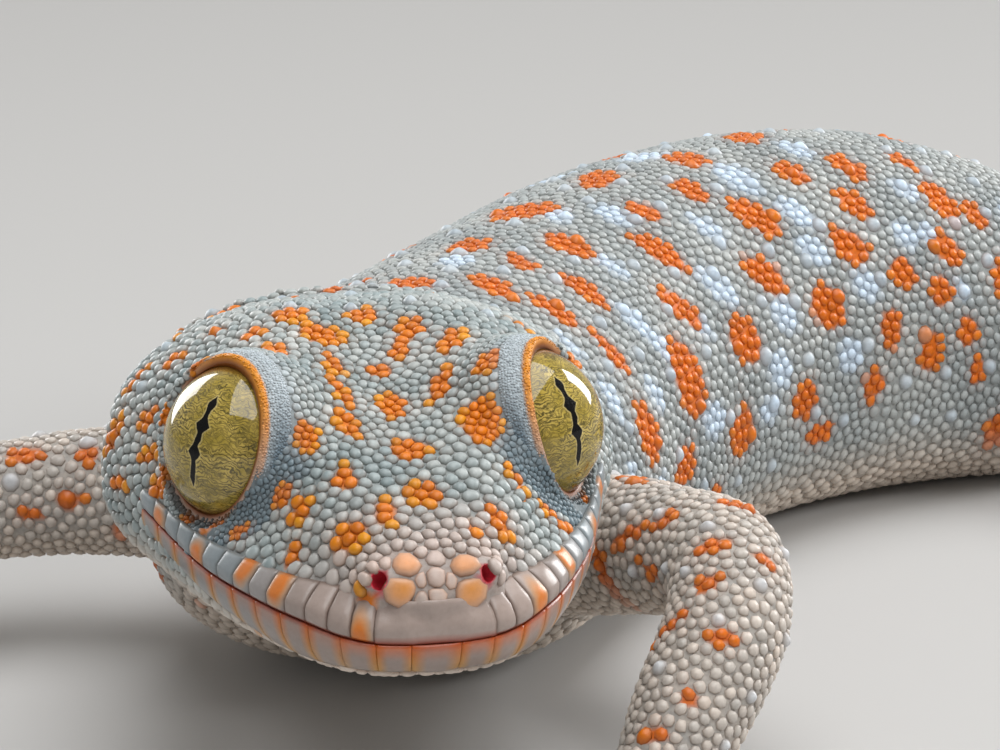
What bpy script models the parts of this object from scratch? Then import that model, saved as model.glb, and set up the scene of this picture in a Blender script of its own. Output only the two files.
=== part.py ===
"""A tokay gecko, life size, lying on its belly with its head raised and turned to the viewer.

Sizes and places are millimetres. +Z is up and the floor is z = 0. Places are measured from the floor
below the middle of the head, and mesh_object turns them into metres from the middle of the belly's flat.
In the head's own frame the origin is midway between the eyes, +X is the gecko's left, +Y runs back to
the neck and +Z is up.
"""

import math

import bmesh
import bpy
import numpy as np

MM = 0.001
GAP = 0.3
BELLY_MIDDLE = (31.0, 90.0, 0.0)

# The head's place and its turn about +Z, anticlockwise from above.
HEAD_CENTRE = (0.0, 0.0, 32.0)
HEAD_TURN = math.radians(11.5)
HEAD_REAR = 19.0
HEAD_SIDES = 30
# Station along the head, half width, height of the widest level, top, underside.
HEAD_ROWS = [
    (-20.6, 2.2, -7.5, -5.9, -9.4),
    (-20.0, 4.6, -7.4, -4.7, -11.0),
    (-18.6, 6.9, -7.2, -3.3, -12.0),
    (-15.5, 9.6, -7.0, -1.7, -12.8),
    (-11.0, 12.1, -6.8, 0.4, -13.2),
    (-6.0, 14.3, -6.5, 2.9, -13.5),
    (0.0, 16.2, -6.0, 5.2, -13.9),
    (6.0, 17.8, -5.2, 6.3, -14.2),
    (12.0, 19.0, -4.4, 6.8, -14.6),
    (15.5, 18.7, -4.3, 6.6, -14.8),
    (19.0, 16.8, -4.6, 5.8, -15.0),
]
HEAD_RING_STEPS = [-20.6, -20.2, -19.6, -18.7, -17.4, -15.8, -14.0, -12.0, -10.0, -8.0, -6.0, -4.0, -2.0,
                   0.0, 2.2, 4.6, 7.0, 9.4, 11.8, 14.2, 16.6, 19.0]
UPPER_SQUARENESS = 2.35
LOWER_SQUARENESS = 3.0

EYE_RADIUS = 6.0
EYE_SIDE = 10.35
EYE_LIFT = 0.0
# The eye looks sideways, forward and a little up.
EYE_OUTWARD = math.radians(60)
EYE_UPWARD = math.radians(16)
SOCKET_MOUND = 7.1
LID_HALF_WIDTH = math.radians(60)
LID_HALF_HEIGHT = math.radians(65)
LID_THICKNESS = 0.55
# The surface is drawn in to this distance from the eye's middle at the opening's edge, and is as it was
# from this share of the opening outwards. It starts this high over the mouth's line, over this rise.
HOLLOW_DEPTH = 6.7
HOLLOW_SHARE = 1.5
HOLLOW_RISE = (1.2, 1.2)

# Middle, radii and outward direction in the head's frame, on the left.
NOSTRIL = ((3.6, -18.9, -4.8), (1.3, 0.55, 0.65), (0.62, -0.6, 0.45))
NOSTRIL_SWELLING = ((3.3, -17.9, -4.9), (2.2, 2.0, 1.6))
EAR = ((18.9, 14.2, -4.4), (2.4, 1.1, 2.9), (1.0, 0.25, 0.0))
EAR_TILT = (0, 0.35, 1)

# The mouth's line, as station and height, from the snout to its corner.
MOUTH_LINE = [(-24.0, -7.6), (-20.0, -7.9), (-14.0, -8.0), (-7.0, -7.6), (0.0, -6.7), (5.0, -5.8)]
JAW_REAR = [(9.5, -8.0), (15.5, -14.5), (15.5, -22.0), (-24.0, -22.0)]

# Lip plates: row, count a side, height of their middle over the mouth's line, half height, half width
# and the station of the last one's rear.
LIP_ROWS = [("upper", 9, 1.3, 1.35, 1.75, 4.4), ("lower", 8, -2.1, 2.0, 1.9, 3.6)]
LIP_PLATE_DEPTH = 0.9
LIP_PLATE_HEIGHT = 0.4
LIP_FRONT = -19.7
# The plates at the tips of the snout and the chin: height of their middle, half height, half width.
TIP_PLATES = [(-6.4, 1.5, 4.2), (-9.8, 1.8, 2.4)]
TIP_STATION = -20.15
TIP_DEPTH = 0.95
# Half widths of the slabs that part the jaw from the head.
JAW_SPACE_WIDTH = 26
JAW_BLOCK_WIDTH = 25

# Path of the spine from above, then half width, underside and top. Below 0 the body is pressed flat.
SPINE = [
    (-4.6, 26.5, 15.2, 7.0, 35.6),
    (-3.6, 34.5, 18.2, 1.6, 33.2),
    (0.5, 43.0, 19.4, 0.0, 31.6),
    (9.5, 62.0, 18.4, -0.8, 32.4),
    (21.0, 80.0, 18.6, -0.9, 33.8),
    (31.0, 90.0, 18.9, -0.9, 34.0),
    (42.0, 96.8, 18.4, -0.9, 33.0),
    (51.5, 99.6, 16.8, -0.9, 30.4),
    (62.0, 99.5, 14.2, -0.8, 26.2),
    (72.0, 97.0, 12.4, -0.6, 22.2),
    (84.0, 92.5, 8.8, -0.5, 16.2),
    (96.0, 92.5, 7.6, -0.5, 13.6),
    (110.0, 96.5, 6.5, -0.5, 11.4),
    (124.0, 105.0, 5.3, -0.5, 9.2),
    (135.0, 118.0, 4.1, -0.4, 7.0),
    (141.0, 134.0, 3.0, -0.4, 5.1),
    (140.0, 150.0, 2.0, -0.3, 3.5),
    (132.0, 163.0, 1.2, -0.3, 2.2),
    (121.0, 170.0, 0.5, -0.2, 1.1),
]
BODY_SIDES = 30
TAIL_SIDES = 16
BODY_UPPER_SQUARENESS = 2.1
BODY_LOWER_SQUARENESS = 2.5
BODY_WIDEST = 0.42
TUBERCLE_HEIGHT = 0.75
TUBERCLE_SHARE = 0.62
TAIL_WHORL_HEIGHT = 0.35


def smooth_rows(rows, at):
    """Values of the rows' columns at these stations, by cubics that don't overshoot."""
    table = np.array(rows, float)
    xs, ys = table[:, 0], table[:, 1:]
    step = np.diff(xs)[:, None]
    slope = np.diff(ys, axis=0) / step
    tangent = np.vstack([slope[:1], np.zeros_like(slope[1:]), slope[-1:]])
    rising = slope[:-1] * slope[1:] > 0
    total = np.where(rising, slope[:-1] + slope[1:], 1.0)
    tangent[1:-1] = np.where(rising, 2 * slope[:-1] * slope[1:] / total, 0.0)
    at = np.atleast_1d(np.asarray(at, float))
    i = np.clip(np.searchsorted(xs, at, side="right") - 1, 0, len(step) - 1)
    h = step[i]
    t = ((at - xs[i])[:, None]) / h
    return (ys[i] * (1 + 2 * t) * (1 - t) ** 2 + tangent[i] * h * t * (1 - t) ** 2
            + ys[i + 1] * t * t * (3 - 2 * t) + tangent[i + 1] * h * t * t * (t - 1))


def smooth_path(points, count):
    """Points spaced evenly along a smooth curve through these points."""
    points = np.array(points, float)
    knots = np.concatenate([[0], np.cumsum(np.linalg.norm(np.diff(points, axis=0), axis=1))])
    tangent = np.gradient(points, knots, axis=0)
    fine = np.linspace(0, knots[-1], 20 * len(points))
    i = np.clip(np.searchsorted(knots, fine, side="right") - 1, 0, len(knots) - 2)
    h = (knots[i + 1] - knots[i])[:, None]
    t = (fine - knots[i])[:, None] / h
    curve = (points[i] * (1 + 2 * t) * (1 - t) ** 2 + tangent[i] * h * t * (1 - t) ** 2
             + points[i + 1] * t * t * (3 - 2 * t) + tangent[i + 1] * h * t * t * (t - 1))
    length = np.concatenate([[0], np.cumsum(np.linalg.norm(np.diff(curve, axis=0), axis=1))])
    even = np.linspace(0, length[-1], count)
    return np.stack([np.interp(even, length, curve[:, k]) for k in range(curve.shape[1])], 1)


def section(half_width, widest, top, underside, sides, upper, lower):
    """Across and height of one closed section, from its left side over the top."""
    angle = 2 * math.pi * np.arange(sides) / sides
    c, s = np.cos(angle), np.sin(angle)
    power = np.where(s >= 0, upper, lower)
    across = half_width * np.sign(c) * np.abs(c) ** (2 / power)
    reach = np.where(s >= 0, top - widest, widest - underside)
    return across, widest + reach * np.sign(s) * np.abs(s) ** (2 / power)


def mesh_object(name, vertices, faces):
    """A new object in the gecko's collection from millimetre points, with its faces pointing out."""
    mesh = bpy.data.meshes.new(name)
    mesh.from_pydata(((np.asarray(vertices) - BELLY_MIDDLE) * MM).tolist(), [], faces)
    tidy = bmesh.new()
    tidy.from_mesh(mesh)
    bmesh.ops.triangulate(tidy, faces=tidy.faces)
    bmesh.ops.recalc_face_normals(tidy, faces=tidy.faces)
    tidy.to_mesh(mesh)
    tidy.free()
    made = bpy.data.objects.new(name, mesh)
    bpy.data.collections["gecko"].objects.link(made)
    return made


def loft(name, rings, knobs=()):
    """A closed solid through rings that all have the same number of points.

    knobs names cells, as ring and point numbers, that carry a small pyramid: a tubercle.
    """
    count = len(rings[0])
    vertices = [p for ring in rings for p in ring]
    faces = []
    for i in range(len(rings) - 1):
        for j in range(count):
            k = (j + 1) % count
            cell = (i * count + j, i * count + k, (i + 1) * count + k, (i + 1) * count + j)
            if (i, j) not in knobs:
                faces += [cell[:3], (cell[0], cell[2], cell[3])]
                continue
            corners = np.array([vertices[c] for c in cell])
            middle = corners.mean(axis=0)
            facing = np.cross(corners[1] - corners[3], corners[2] - corners[0])
            facing *= np.sign(np.dot(facing, middle - np.mean(rings[i], axis=0))) / np.linalg.norm(facing)
            foot = len(vertices)
            vertices += list(middle + (corners - middle) * TUBERCLE_SHARE)
            vertices.append(middle + facing * TUBERCLE_HEIGHT)
            for c in range(4):
                d = (c + 1) % 4
                faces += [(cell[c], cell[d], foot + d), (cell[c], foot + d, foot + c)]
                faces.append((foot + c, foot + d, foot + 4))
    front = len(vertices)
    vertices += [np.mean(rings[0], axis=0), np.mean(rings[-1], axis=0)]
    start = (len(rings) - 1) * count
    for j in range(count):
        k = (j + 1) % count
        faces.append((front, k, j))
        faces.append((front + 1, start + j, start + k))
    return mesh_object(name, vertices, faces)


def ellipsoid(name, centre, radii, axes=None, segments=8, rings=5):
    """A sphere stretched to three radii along its own three axes."""
    axes = np.eye(3) if axes is None else np.asarray(axes)
    made = bmesh.new()
    bmesh.ops.create_uvsphere(made, u_segments=segments, v_segments=rings, radius=1.0)
    points = np.array([v.co for v in made.verts]) * np.asarray(radii)
    faces = [[v.index for v in f.verts] for f in made.faces]
    made.free()
    return mesh_object(name, points @ axes + np.asarray(centre), faces)


def frame_along(direction, upward=(0, 0, 1)):
    """Rows: a unit vector along direction, one across it and one at right angles to both."""
    along = np.asarray(direction, float) / np.linalg.norm(direction)
    across = np.cross(upward, along)
    across /= np.linalg.norm(across)
    return np.array([along, across, np.cross(along, across)])


def bake_modifiers(target):
    """Replaces an object's mesh by what its modifiers make of it."""
    graph = bpy.context.evaluated_depsgraph_get()
    mesh = bpy.data.meshes.new_from_object(target.evaluated_get(graph))
    target.modifiers.clear()
    target.data = mesh


def keep_largest_surface(target):
    """Leaves only the biggest closed surface of an object's mesh."""
    tidy = bmesh.new()
    tidy.from_mesh(target.data)
    bmesh.ops.triangulate(tidy, faces=tidy.faces)
    bmesh.ops.dissolve_degenerate(tidy, dist=0.002 * MM, edges=tidy.edges)
    bmesh.ops.triangulate(tidy, faces=tidy.faces)
    unseen = set(tidy.verts)
    groups = []
    while unseen:
        stack = [unseen.pop()]
        group = set(stack)
        while stack:
            for edge in stack.pop().link_edges:
                for v in edge.verts:
                    if v in unseen:
                        unseen.discard(v)
                        group.add(v)
                        stack.append(v)
        groups.append(group)
    largest = max(groups, key=len)
    bmesh.ops.delete(tidy, geom=[v for v in tidy.verts if v not in largest], context="VERTS")
    tidy.to_mesh(target.data)
    tidy.free()


def combine(target, operation, others):
    """One Boolean of the target with closed objects, which are then removed."""
    tools = bpy.data.collections.new("tools")
    bpy.context.scene.collection.children.link(tools)
    for other in others:
        bpy.data.collections["gecko"].objects.unlink(other)
        tools.objects.link(other)
    modifier = target.modifiers.new(operation, "BOOLEAN")
    modifier.operation = operation
    modifier.operand_type = "COLLECTION"
    modifier.collection = tools
    modifier.solver = "EXACT"
    bake_modifiers(target)
    for other in others:
        bpy.data.objects.remove(other)
    bpy.data.collections.remove(tools)
    keep_largest_surface(target)


def head_to_world(points):
    """Points of the head's frame, in the gecko's."""
    x, y, z = np.asarray(points, float).T
    c, s = math.cos(HEAD_TURN), math.sin(HEAD_TURN)
    return np.stack([x * c - y * s, x * s + y * c, z], -1) + np.array(HEAD_CENTRE)


def head_direction(vector):
    """A direction of the head's frame, in the gecko's."""
    return head_to_world([vector])[0] - np.array(HEAD_CENTRE)


def head_ring(station):
    """The head's section at a station, in the head's frame, with its sculpted forms."""
    width, widest, top, underside = smooth_rows(HEAD_ROWS, station)[0]
    x, z = section(width, widest, top, underside, HEAD_SIDES, UPPER_SQUARENESS, LOWER_SQUARENESS)
    ring = np.stack([x, np.full(HEAD_SIDES, float(station)), z], -1)
    return orbit_hollow(ring + head_relief(ring))


def bump(points, centre, radii):
    """A smooth hill that is 1 at its centre and fades over these radii."""
    away = (points - np.asarray(centre)) / np.asarray(radii)
    return np.exp(-np.sum(away ** 2, axis=1))


def head_relief(points):
    """The forehead's hollow, the brows, the snout's top groove and the cheeks, as moves of points."""
    move = np.zeros_like(points)
    on_top = np.clip((points[:, 2] + 4) / 6, 0, 1)
    mirrored = np.abs(points) * [1, 0, 0] + points * [0, 1, 1]
    move[:, 2] -= 1.5 * on_top * bump(mirrored, (0, -2, 5), (4.5, 9, 20))
    move[:, 2] += 1.3 * on_top * bump(mirrored, (9.0, 0, 6), (3.6, 6.5, 20))
    move[:, 2] -= 0.5 * on_top * bump(mirrored, (0, -14, 0), (2.5, 5, 20))
    move[:, 2] += 0.6 * on_top * bump(mirrored, (6.0, 11, 6), (4.0, 5, 20))
    cheek = 0.8 * bump(mirrored, (18, 11, -6), (8, 5, 5))
    move[:, 0] += np.sign(points[:, 0]) * cheek
    return move


def smooth_step(values):
    held = np.clip(values, 0, 1)
    return held * held * (3 - 2 * held)


def orbit_hollow(points):
    """Draws the surface in towards each eye, in front of it and below it, so that the lids stand free."""
    for side in (-1, 1):
        away = points - eye_centre(side)
        distance = np.linalg.norm(away, axis=1)
        forward, across, up = eye_frame(side)
        turn = np.arccos(np.clip(away @ forward / distance, -1, 1))
        sideways, upright = away @ across, away @ up
        spread = np.hypot(sideways, upright)
        share = turn * np.hypot(sideways / spread / LID_HALF_WIDTH, upright / spread / LID_HALF_HEIGHT)
        free = smooth_step((share - 1) / (HOLLOW_SHARE - 1))
        mouth = np.array([mouth_height(y) for y in points[:, 1]])
        above = smooth_step((points[:, 2] - mouth - HOLLOW_RISE[0]) / HOLLOW_RISE[1])
        drawn = np.where(distance > HOLLOW_DEPTH, HOLLOW_DEPTH + (distance - HOLLOW_DEPTH) * free, distance)
        factor = 1 + (drawn / distance - 1) * above
        points = eye_centre(side) + away * factor[:, None]
    return points


def head_side(station, height):
    """How far out the head's side is at a station and height below its widest level."""
    width, widest, top, underside = smooth_rows(HEAD_ROWS, station)[0]
    reach = (widest - underside) if height < widest else (top - widest)
    power = LOWER_SQUARENESS if height < widest else UPPER_SQUARENESS
    share = min(abs(height - widest) / reach, 0.98)
    return width * (1 - share ** power) ** (1 / power)


def mouth_height(station):
    return float(smooth_rows(MOUTH_LINE, station)[0, 0])


def prism(name, outline, half_width):
    """A slab whose side outline is given as station and height in the head's frame."""
    rings = []
    for x in (-half_width, half_width):
        rings.append(head_to_world([(x, y, z) for y, z in outline]))
    count = len(outline)
    faces = [tuple(range(count)), tuple(range(2 * count - 1, count - 1, -1))]
    for j in range(count):
        k = (j + 1) % count
        faces.append((j, count + j, count + k, k))
    return mesh_object(name, np.concatenate(rings), faces)


def jaw_outline(grow):
    """Side outline of the space the lower jaw fills, grown by a clearance."""
    top = [(y, mouth_height(y) + grow) for y in np.linspace(-24, 5 + grow, 15)]
    rear = [(y + grow * 1.4, z) for y, z in JAW_REAR[:-1]]
    return top + rear + [JAW_REAR[-1]]


def lip_frame(side, station, height):
    """Place and axes (outward, along the lip, up the lip) on the head's side, in the head's frame."""
    step = 0.4
    here = np.array([side * head_side(station, height), station, height])
    ahead = np.array([side * head_side(station + step, height), station + step, height])
    above = np.array([side * head_side(station, height + step), station, height + step])
    along = (ahead - here) / np.linalg.norm(ahead - here)
    up = above - here
    up -= along * np.dot(up, along)
    up /= np.linalg.norm(up)
    outward = np.cross(along, up)
    outward *= np.sign(outward[0]) * side
    return here, np.array([outward, along, up])


def lip_stations(front, rear, count):
    """Stations of the lip plates, evenly spaced along the lip from front to rear."""
    fine = np.linspace(front, rear, 200)
    side = np.array([head_side(y, mouth_height(y)) for y in fine])
    length = np.concatenate([[0], np.cumsum(np.hypot(np.diff(fine), np.diff(side)))])
    return np.interp((np.arange(count) + 0.5) / count * length[-1], length, fine)


def lip_plates():
    """Raised plates along both lips, the one at the snout's tip and the one at the chin's."""
    pieces = []
    for row, count, offset, tall, wide, rear in LIP_ROWS:
        for side in (-1, 1):
            stations = lip_stations(LIP_FRONT, rear, count)
            for i, station in enumerate(stations):
                size = 1 - 0.3 * i / count
                here, axes = lip_frame(side, station, mouth_height(station) + offset * size)
                centre = here - axes[0] * (LIP_PLATE_DEPTH - LIP_PLATE_HEIGHT)
                radii = (LIP_PLATE_DEPTH, wide, tall * size)
                world_axes = np.array([head_direction(a) for a in axes])
                pieces.append(ellipsoid(f"{row} lip plate", head_to_world([centre])[0], radii, world_axes,
                                        segments=6, rings=4))
    for height, tall, wide in TIP_PLATES:
        centre = head_to_world([(0, TIP_STATION, height)])[0]
        axes = [head_direction(a) for a in np.eye(3)]
        pieces.append(ellipsoid("tip plate", centre, (wide, TIP_DEPTH, tall), axes, segments=10, rings=6))
    return pieces


def eye_centre(side):
    return np.array([side * EYE_SIDE, 0.0, EYE_LIFT])


def eye_frame(side):
    """Rows: the way the eye's opening faces, across it and up it, in the head's frame."""
    flat = math.cos(EYE_UPWARD)
    return frame_along((side * math.sin(EYE_OUTWARD) * flat, -math.cos(EYE_OUTWARD) * flat, math.sin(EYE_UPWARD)))


def lid_directions(side, widen, count):
    """Unit vectors round the eye's opening, widened by a share."""
    forward, across, up = eye_frame(side)
    around = 2 * math.pi * np.arange(count) / count
    wide = LID_HALF_WIDTH * widen * np.cos(around)
    tall = LID_HALF_HEIGHT * widen * np.sin(around)
    turn = np.hypot(wide, tall)
    flat = (across * wide[:, None] + up * tall[:, None]) / turn[:, None]
    return forward * np.cos(turn)[:, None] + flat * np.sin(turn)[:, None]


def lid_ring(side):
    """The raised rim round the eye: a round bead that follows the opening."""
    directions = lid_directions(side, 1.06, 22)
    centres = eye_centre(side) + directions * (EYE_RADIUS + 0.55)
    sides = 6
    tangent = np.roll(centres, -1, axis=0) - np.roll(centres, 1, axis=0)
    tangent /= np.linalg.norm(tangent, axis=1)[:, None]
    flat = np.cross(tangent, directions)
    rings = []
    for j in range(sides):
        a = 2 * math.pi * j / sides
        rings.append(centres + LID_THICKNESS * 1.5 * math.cos(a) * flat + LID_THICKNESS * math.sin(a) * directions)
    count = len(centres)
    vertices = head_to_world(np.concatenate(rings))
    faces = []
    for j in range(sides):
        for i in range(count):
            k, m = (i + 1) % count, (j + 1) % sides
            faces.append((j * count + i, j * count + k, m * count + k, m * count + i))
    return mesh_object("lid ring", vertices, faces)


def eye_window(side):
    """The wedge, from the eye's middle outward, that leaves the eye uncovered."""
    reach = SOCKET_MOUND + 0.35
    directions = lid_directions(side, 1.0, 20)
    inner = eye_centre(side) + directions * EYE_RADIUS * 0.5
    outer = eye_centre(side) + directions * reach
    cap = eye_centre(side) + eye_frame(side)[0] * reach * 1.25
    rings = [head_to_world(inner), head_to_world(outer),
             head_to_world(0.5 * outer + 0.5 * (cap + (outer - outer.mean(axis=0)) * 0.6))]
    return loft("eye window", rings)


def mirrored_place(centre, side):
    """A place on the head's left, or its twin on the right, in the gecko's frame."""
    return head_to_world([(side * centre[0], centre[1], centre[2])])[0]


def build_head():
    """The head with its mouth closed, cut along the mouth's line into head and lower jaw."""
    rings = [head_to_world(head_ring(y)) for y in HEAD_RING_STEPS]
    head = loft("head", rings)
    added = lip_plates()
    for side in (-1, 1):
        socket = head_to_world([eye_centre(side)])[0]
        added.append(ellipsoid("orbit", socket, [SOCKET_MOUND] * 3, segments=16, rings=10))
        added.append(lid_ring(side))
        centre, radii = NOSTRIL_SWELLING
        added.append(ellipsoid("nasal swelling", mirrored_place(centre, side), radii, segments=8, rings=5))
    combine(head, "UNION", added)
    cuts = []
    for side in (-1, 1):
        socket = head_to_world([eye_centre(side)])[0]
        cuts.append(ellipsoid("socket", socket, [EYE_RADIUS + GAP] * 3, segments=16, rings=12))
        cuts.append(eye_window(side))
        centre, radii, outward = NOSTRIL
        axes = frame_along(head_direction((side * outward[0],) + outward[1:]))
        cuts.append(ellipsoid("nostril", mirrored_place(centre, side), radii, axes, segments=8, rings=6))
        centre, radii, outward = EAR
        axes = frame_along(head_direction((side * outward[0],) + outward[1:]), head_direction(EAR_TILT))
        cuts.append(ellipsoid("ear", mirrored_place(centre, side), radii, axes, segments=10, rings=8))
    combine(head, "DIFFERENCE", cuts)
    jaw = head.copy()
    jaw.data = head.data.copy()
    jaw.name = "lower_jaw"
    bpy.data.collections["gecko"].objects.link(jaw)
    combine(head, "DIFFERENCE", [prism("jaw space", jaw_outline(GAP), JAW_SPACE_WIDTH)])
    combine(jaw, "INTERSECT", [prism("jaw block", jaw_outline(0), JAW_BLOCK_WIDTH)])
    for side, name in ((-1, "eye_right"), (1, "eye_left")):
        centre = head_to_world([eye_centre(side)])[0]
        axes = frame_along(head_direction(eye_frame(side)[0]))
        ball = ellipsoid(name, centre, [EYE_RADIUS] * 3, axes[[1, 2, 0]], segments=16, rings=12)
        ball.data.shade_smooth()
    return head, jaw


def spine_rows():
    """The spine's rows with the head's rear section in front, each with its distance along the path."""
    width, widest, top, underside = smooth_rows(HEAD_ROWS, HEAD_REAR)[0]
    rear = head_to_world([(0, HEAD_REAR + GAP, 0)])[0]
    first = (rear[0], rear[1], width, HEAD_CENTRE[2] + underside, HEAD_CENTRE[2] + top)
    return np.array([first] + SPINE)


class Body:
    """The tube from the neck to the tail's tip, as sections in upright planes across the spine."""

    def __init__(self):
        rows = spine_rows()
        self.fine = smooth_path(rows[:, :2], 1200)
        steps = np.linalg.norm(np.diff(self.fine, axis=0), axis=1)
        self.distance = np.concatenate([[0], np.cumsum(steps)])
        near = [np.argmin(np.linalg.norm(self.fine - p, axis=1)) for p in rows[:, :2]]
        self.knots = self.distance[near]
        self.sizes = np.column_stack([self.knots, rows[:, 2:]])
        self.length = self.distance[-1]

    def at(self, s):
        """Place on the path, the way across to the gecko's left, and the section's sizes."""
        place = np.array([np.interp(s, self.distance, self.fine[:, k]) for k in (0, 1)])
        ahead = np.array([np.interp(min(s + 0.5, self.length), self.distance, self.fine[:, k]) for k in (0, 1)])
        behind = np.array([np.interp(max(s - 0.5, 0), self.distance, self.fine[:, k]) for k in (0, 1)])
        along = (ahead - behind) / np.linalg.norm(ahead - behind)
        if s <= 0:
            along = np.array([-math.sin(HEAD_TURN), math.cos(HEAD_TURN)])
        return place, np.array([along[1], -along[0]]), smooth_rows(self.sizes, s)[0]

    def ring(self, s, sides, grow=0.0):
        """One section, grown by a clearance or by a tail's whorl."""
        place, across, (width, underside, top) = self.at(s)
        widest = underside + (top - underside) * BODY_WIDEST
        x, z = section(width + grow, widest, top + grow, underside - grow, sides,
                       BODY_UPPER_SQUARENESS, BODY_LOWER_SQUARENESS)
        flat = np.maximum(z, 0.0)
        return np.column_stack([place[0] + across[0] * x, place[1] + across[1] * x, flat])


# Each length of the body: the first and last row of the spine that it spans, the head's rear being row
# 0, then its sides, its sections and what stands up on it.
LENGTHS = {
    "neck": (0, 2.0, BODY_SIDES, 8, None),
    "chest": (2.0, 4.6, BODY_SIDES, 13, "tubercles"),
    "belly": (4.6, 7.6, BODY_SIDES, 13, "tubercles"),
    "pelvis": (7.6, 11.0, BODY_SIDES, 13, "tubercles"),
    "tail_base": (11.0, 13.1, TAIL_SIDES, 13, "whorls"),
    "tail_middle": (13.1, 15.1, TAIL_SIDES, 13, "whorls"),
    "tail_rear": (15.1, 17.1, TAIL_SIDES, 11, "whorls"),
    "tail_tip": (17.1, 19.0, TAIL_SIDES, 9, None),
}


def length_rings(body, first, last, sides, count, kind, grow=0.0):
    """Sections of one length, half a gap short at each joint."""
    rows = np.arange(len(body.knots))
    start = np.interp(first, rows, body.knots) + (GAP / 2 if first else 0)
    end = np.interp(last, rows, body.knots) - (GAP / 2 if last < rows[-1] else 0)
    rings = []
    for i, s in enumerate(np.linspace(start, end, count)):
        whorl = TAIL_WHORL_HEIGHT if kind == "whorls" and i % 2 and i < count - 1 else 0.0
        rings.append(body.ring(s, sides, grow + whorl))
    return rings


def tubercle_cells(sides, count, first_ring=0):
    """Cells on the back that carry a tubercle: every other one in every other ring, staggered."""
    cells = set()
    for i in range(1, count - 2, 2):
        for j in range(sides):
            angle = 360 * (j + 0.5) / sides
            if 24 < angle < 156 and (j + i // 2) % 2 == 0:
                cells.add((first_ring + i, j))
    return cells


def build_body(body):
    """The neck, trunk and tail as separate lengths that meet face to face."""
    for name, (first, last, sides, count, kind) in LENGTHS.items():
        knobs = tubercle_cells(sides, count) if kind == "tubercles" else ()
        loft(name, length_rings(body, first, last, sides, count, kind), knobs)


def body_cutter(body):
    """The neck and trunk as one tube, a gap larger all round."""
    rings = []
    knobs = set()
    for first, last, sides, count, kind in LENGTHS.values():
        if sides == BODY_SIDES:
            if kind == "tubercles":
                knobs |= tubercle_cells(sides, count, len(rings))
            rings += length_rings(body, first, last, sides, count, kind, grow=GAP)
    return loft("body space", rings, knobs)


# Limbs: points from inside the body to the palm, radii there, where the second joint and the wrist
# or ankle fall, the way the toes point and the toes as turn and length. Left is +X in the head's frame.
LIMBS = {
    "arm_left": {
        "nodes": ("upper_arm_left", "forearm_left", "hand_left"),
        "points": [(6.0, 39.0, 12.5), (13.6, 33.0, 13.0), (22.0, 20.0, 16.4), (25.9, 13.0, 17.4),
                   (26.0, 8.2, 15.4), (22.6, 1.5, 9.2), (19.4, -4.2, 4.4), (18.6, -7.5, 3.0)],
        "radii": [6.6, 6.2, 5.3, 4.9, 4.9, 4.6, 3.3, 3.0],
        "heading": -97.0, "toes": [(-72, 7.5), (-38, 10.0), (-4, 11.0), (30, 10.5), (66, 8.5)],
    },
    "arm_right": {
        "nodes": ("upper_arm_right", "forearm_right", "hand_right"),
        "points": [(-7.0, 44.0, 12.0), (-13.8, 45.6, 12.5), (-30.5, 46.4, 12.6), (-37.5, 44.4, 11.8),
                   (-41.5, 41.0, 10.0), (-47.5, 33.8, 5.8), (-51.6, 28.6, 3.9), (-53.6, 25.8, 2.9)],
        "radii": [6.6, 6.2, 5.3, 4.9, 4.9, 4.4, 3.2, 3.0],
        "heading": -122.0, "toes": [(-66, 8.5), (-30, 10.5), (4, 11.0), (38, 10.0), (72, 7.5)],
    },
    "leg_left": {
        "nodes": ("thigh_left", "shank_left", "foot_left"),
        "points": [(70.0, 93.0, 10.5), (73.0, 87.0, 10.8), (80.0, 75.0, 12.6), (84.5, 68.4, 12.8),
                   (90.0, 67.6, 11.0), (98.6, 71.0, 6.6), (105.2, 73.6, 3.9), (108.4, 74.6, 2.9)],
        "radii": [7.4, 7.2, 6.2, 5.5, 5.3, 4.4, 3.2, 3.1],
        "heading": 4.0, "toes": [(-84, 8.0), (-46, 11.5), (-12, 12.5), (22, 12.5), (64, 9.5)],
    },
    "leg_right": {
        "nodes": ("thigh_right", "shank_right", "foot_right"),
        "points": [(66.0, 102.0, 10.5), (62.6, 108.0, 10.6), (53.0, 118.0, 11.6), (47.0, 124.6, 11.6),
                   (47.6, 131.2, 10.4), (54.4, 139.6, 6.4), (59.8, 145.8, 3.9), (62.0, 148.6, 2.9)],
        "radii": [7.4, 7.2, 6.2, 5.5, 5.3, 4.4, 3.2, 3.1],
        "heading": 66.0, "toes": [(-64, 9.5), (-22, 12.5), (12, 12.5), (46, 11.5), (84, 8.0)],
    },
}
LIMB_SIDES = 12
LIMB_RINGS = 26
PALM_RADII = (5.2, 4.6, 2.7)
# Share of the toe's length, half width, underside and top: a slim shaft, the broad pad and the claw.
TOE_ROWS = [
    (0.0, 1.5, 0.3, 3.3),
    (0.30, 1.15, 0.1, 2.7),
    (0.46, 1.7, -0.3, 2.2),
    (0.66, 2.15, -0.3, 1.8),
    (0.84, 1.95, -0.3, 1.5),
    (0.95, 1.1, -0.3, 1.35),
    (1.0, 0.5, 0.25, 1.35),
    (1.14, 0.18, 0.3, 0.6),
]
TOE_SIDES = 6
# How far the palm's middle lies past the wrist, its height, and how far out from it the toes start.
PALM_REACH = 2.2
PALM_LIFT = 2.2
TOE_ROOT = 2.6


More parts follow.
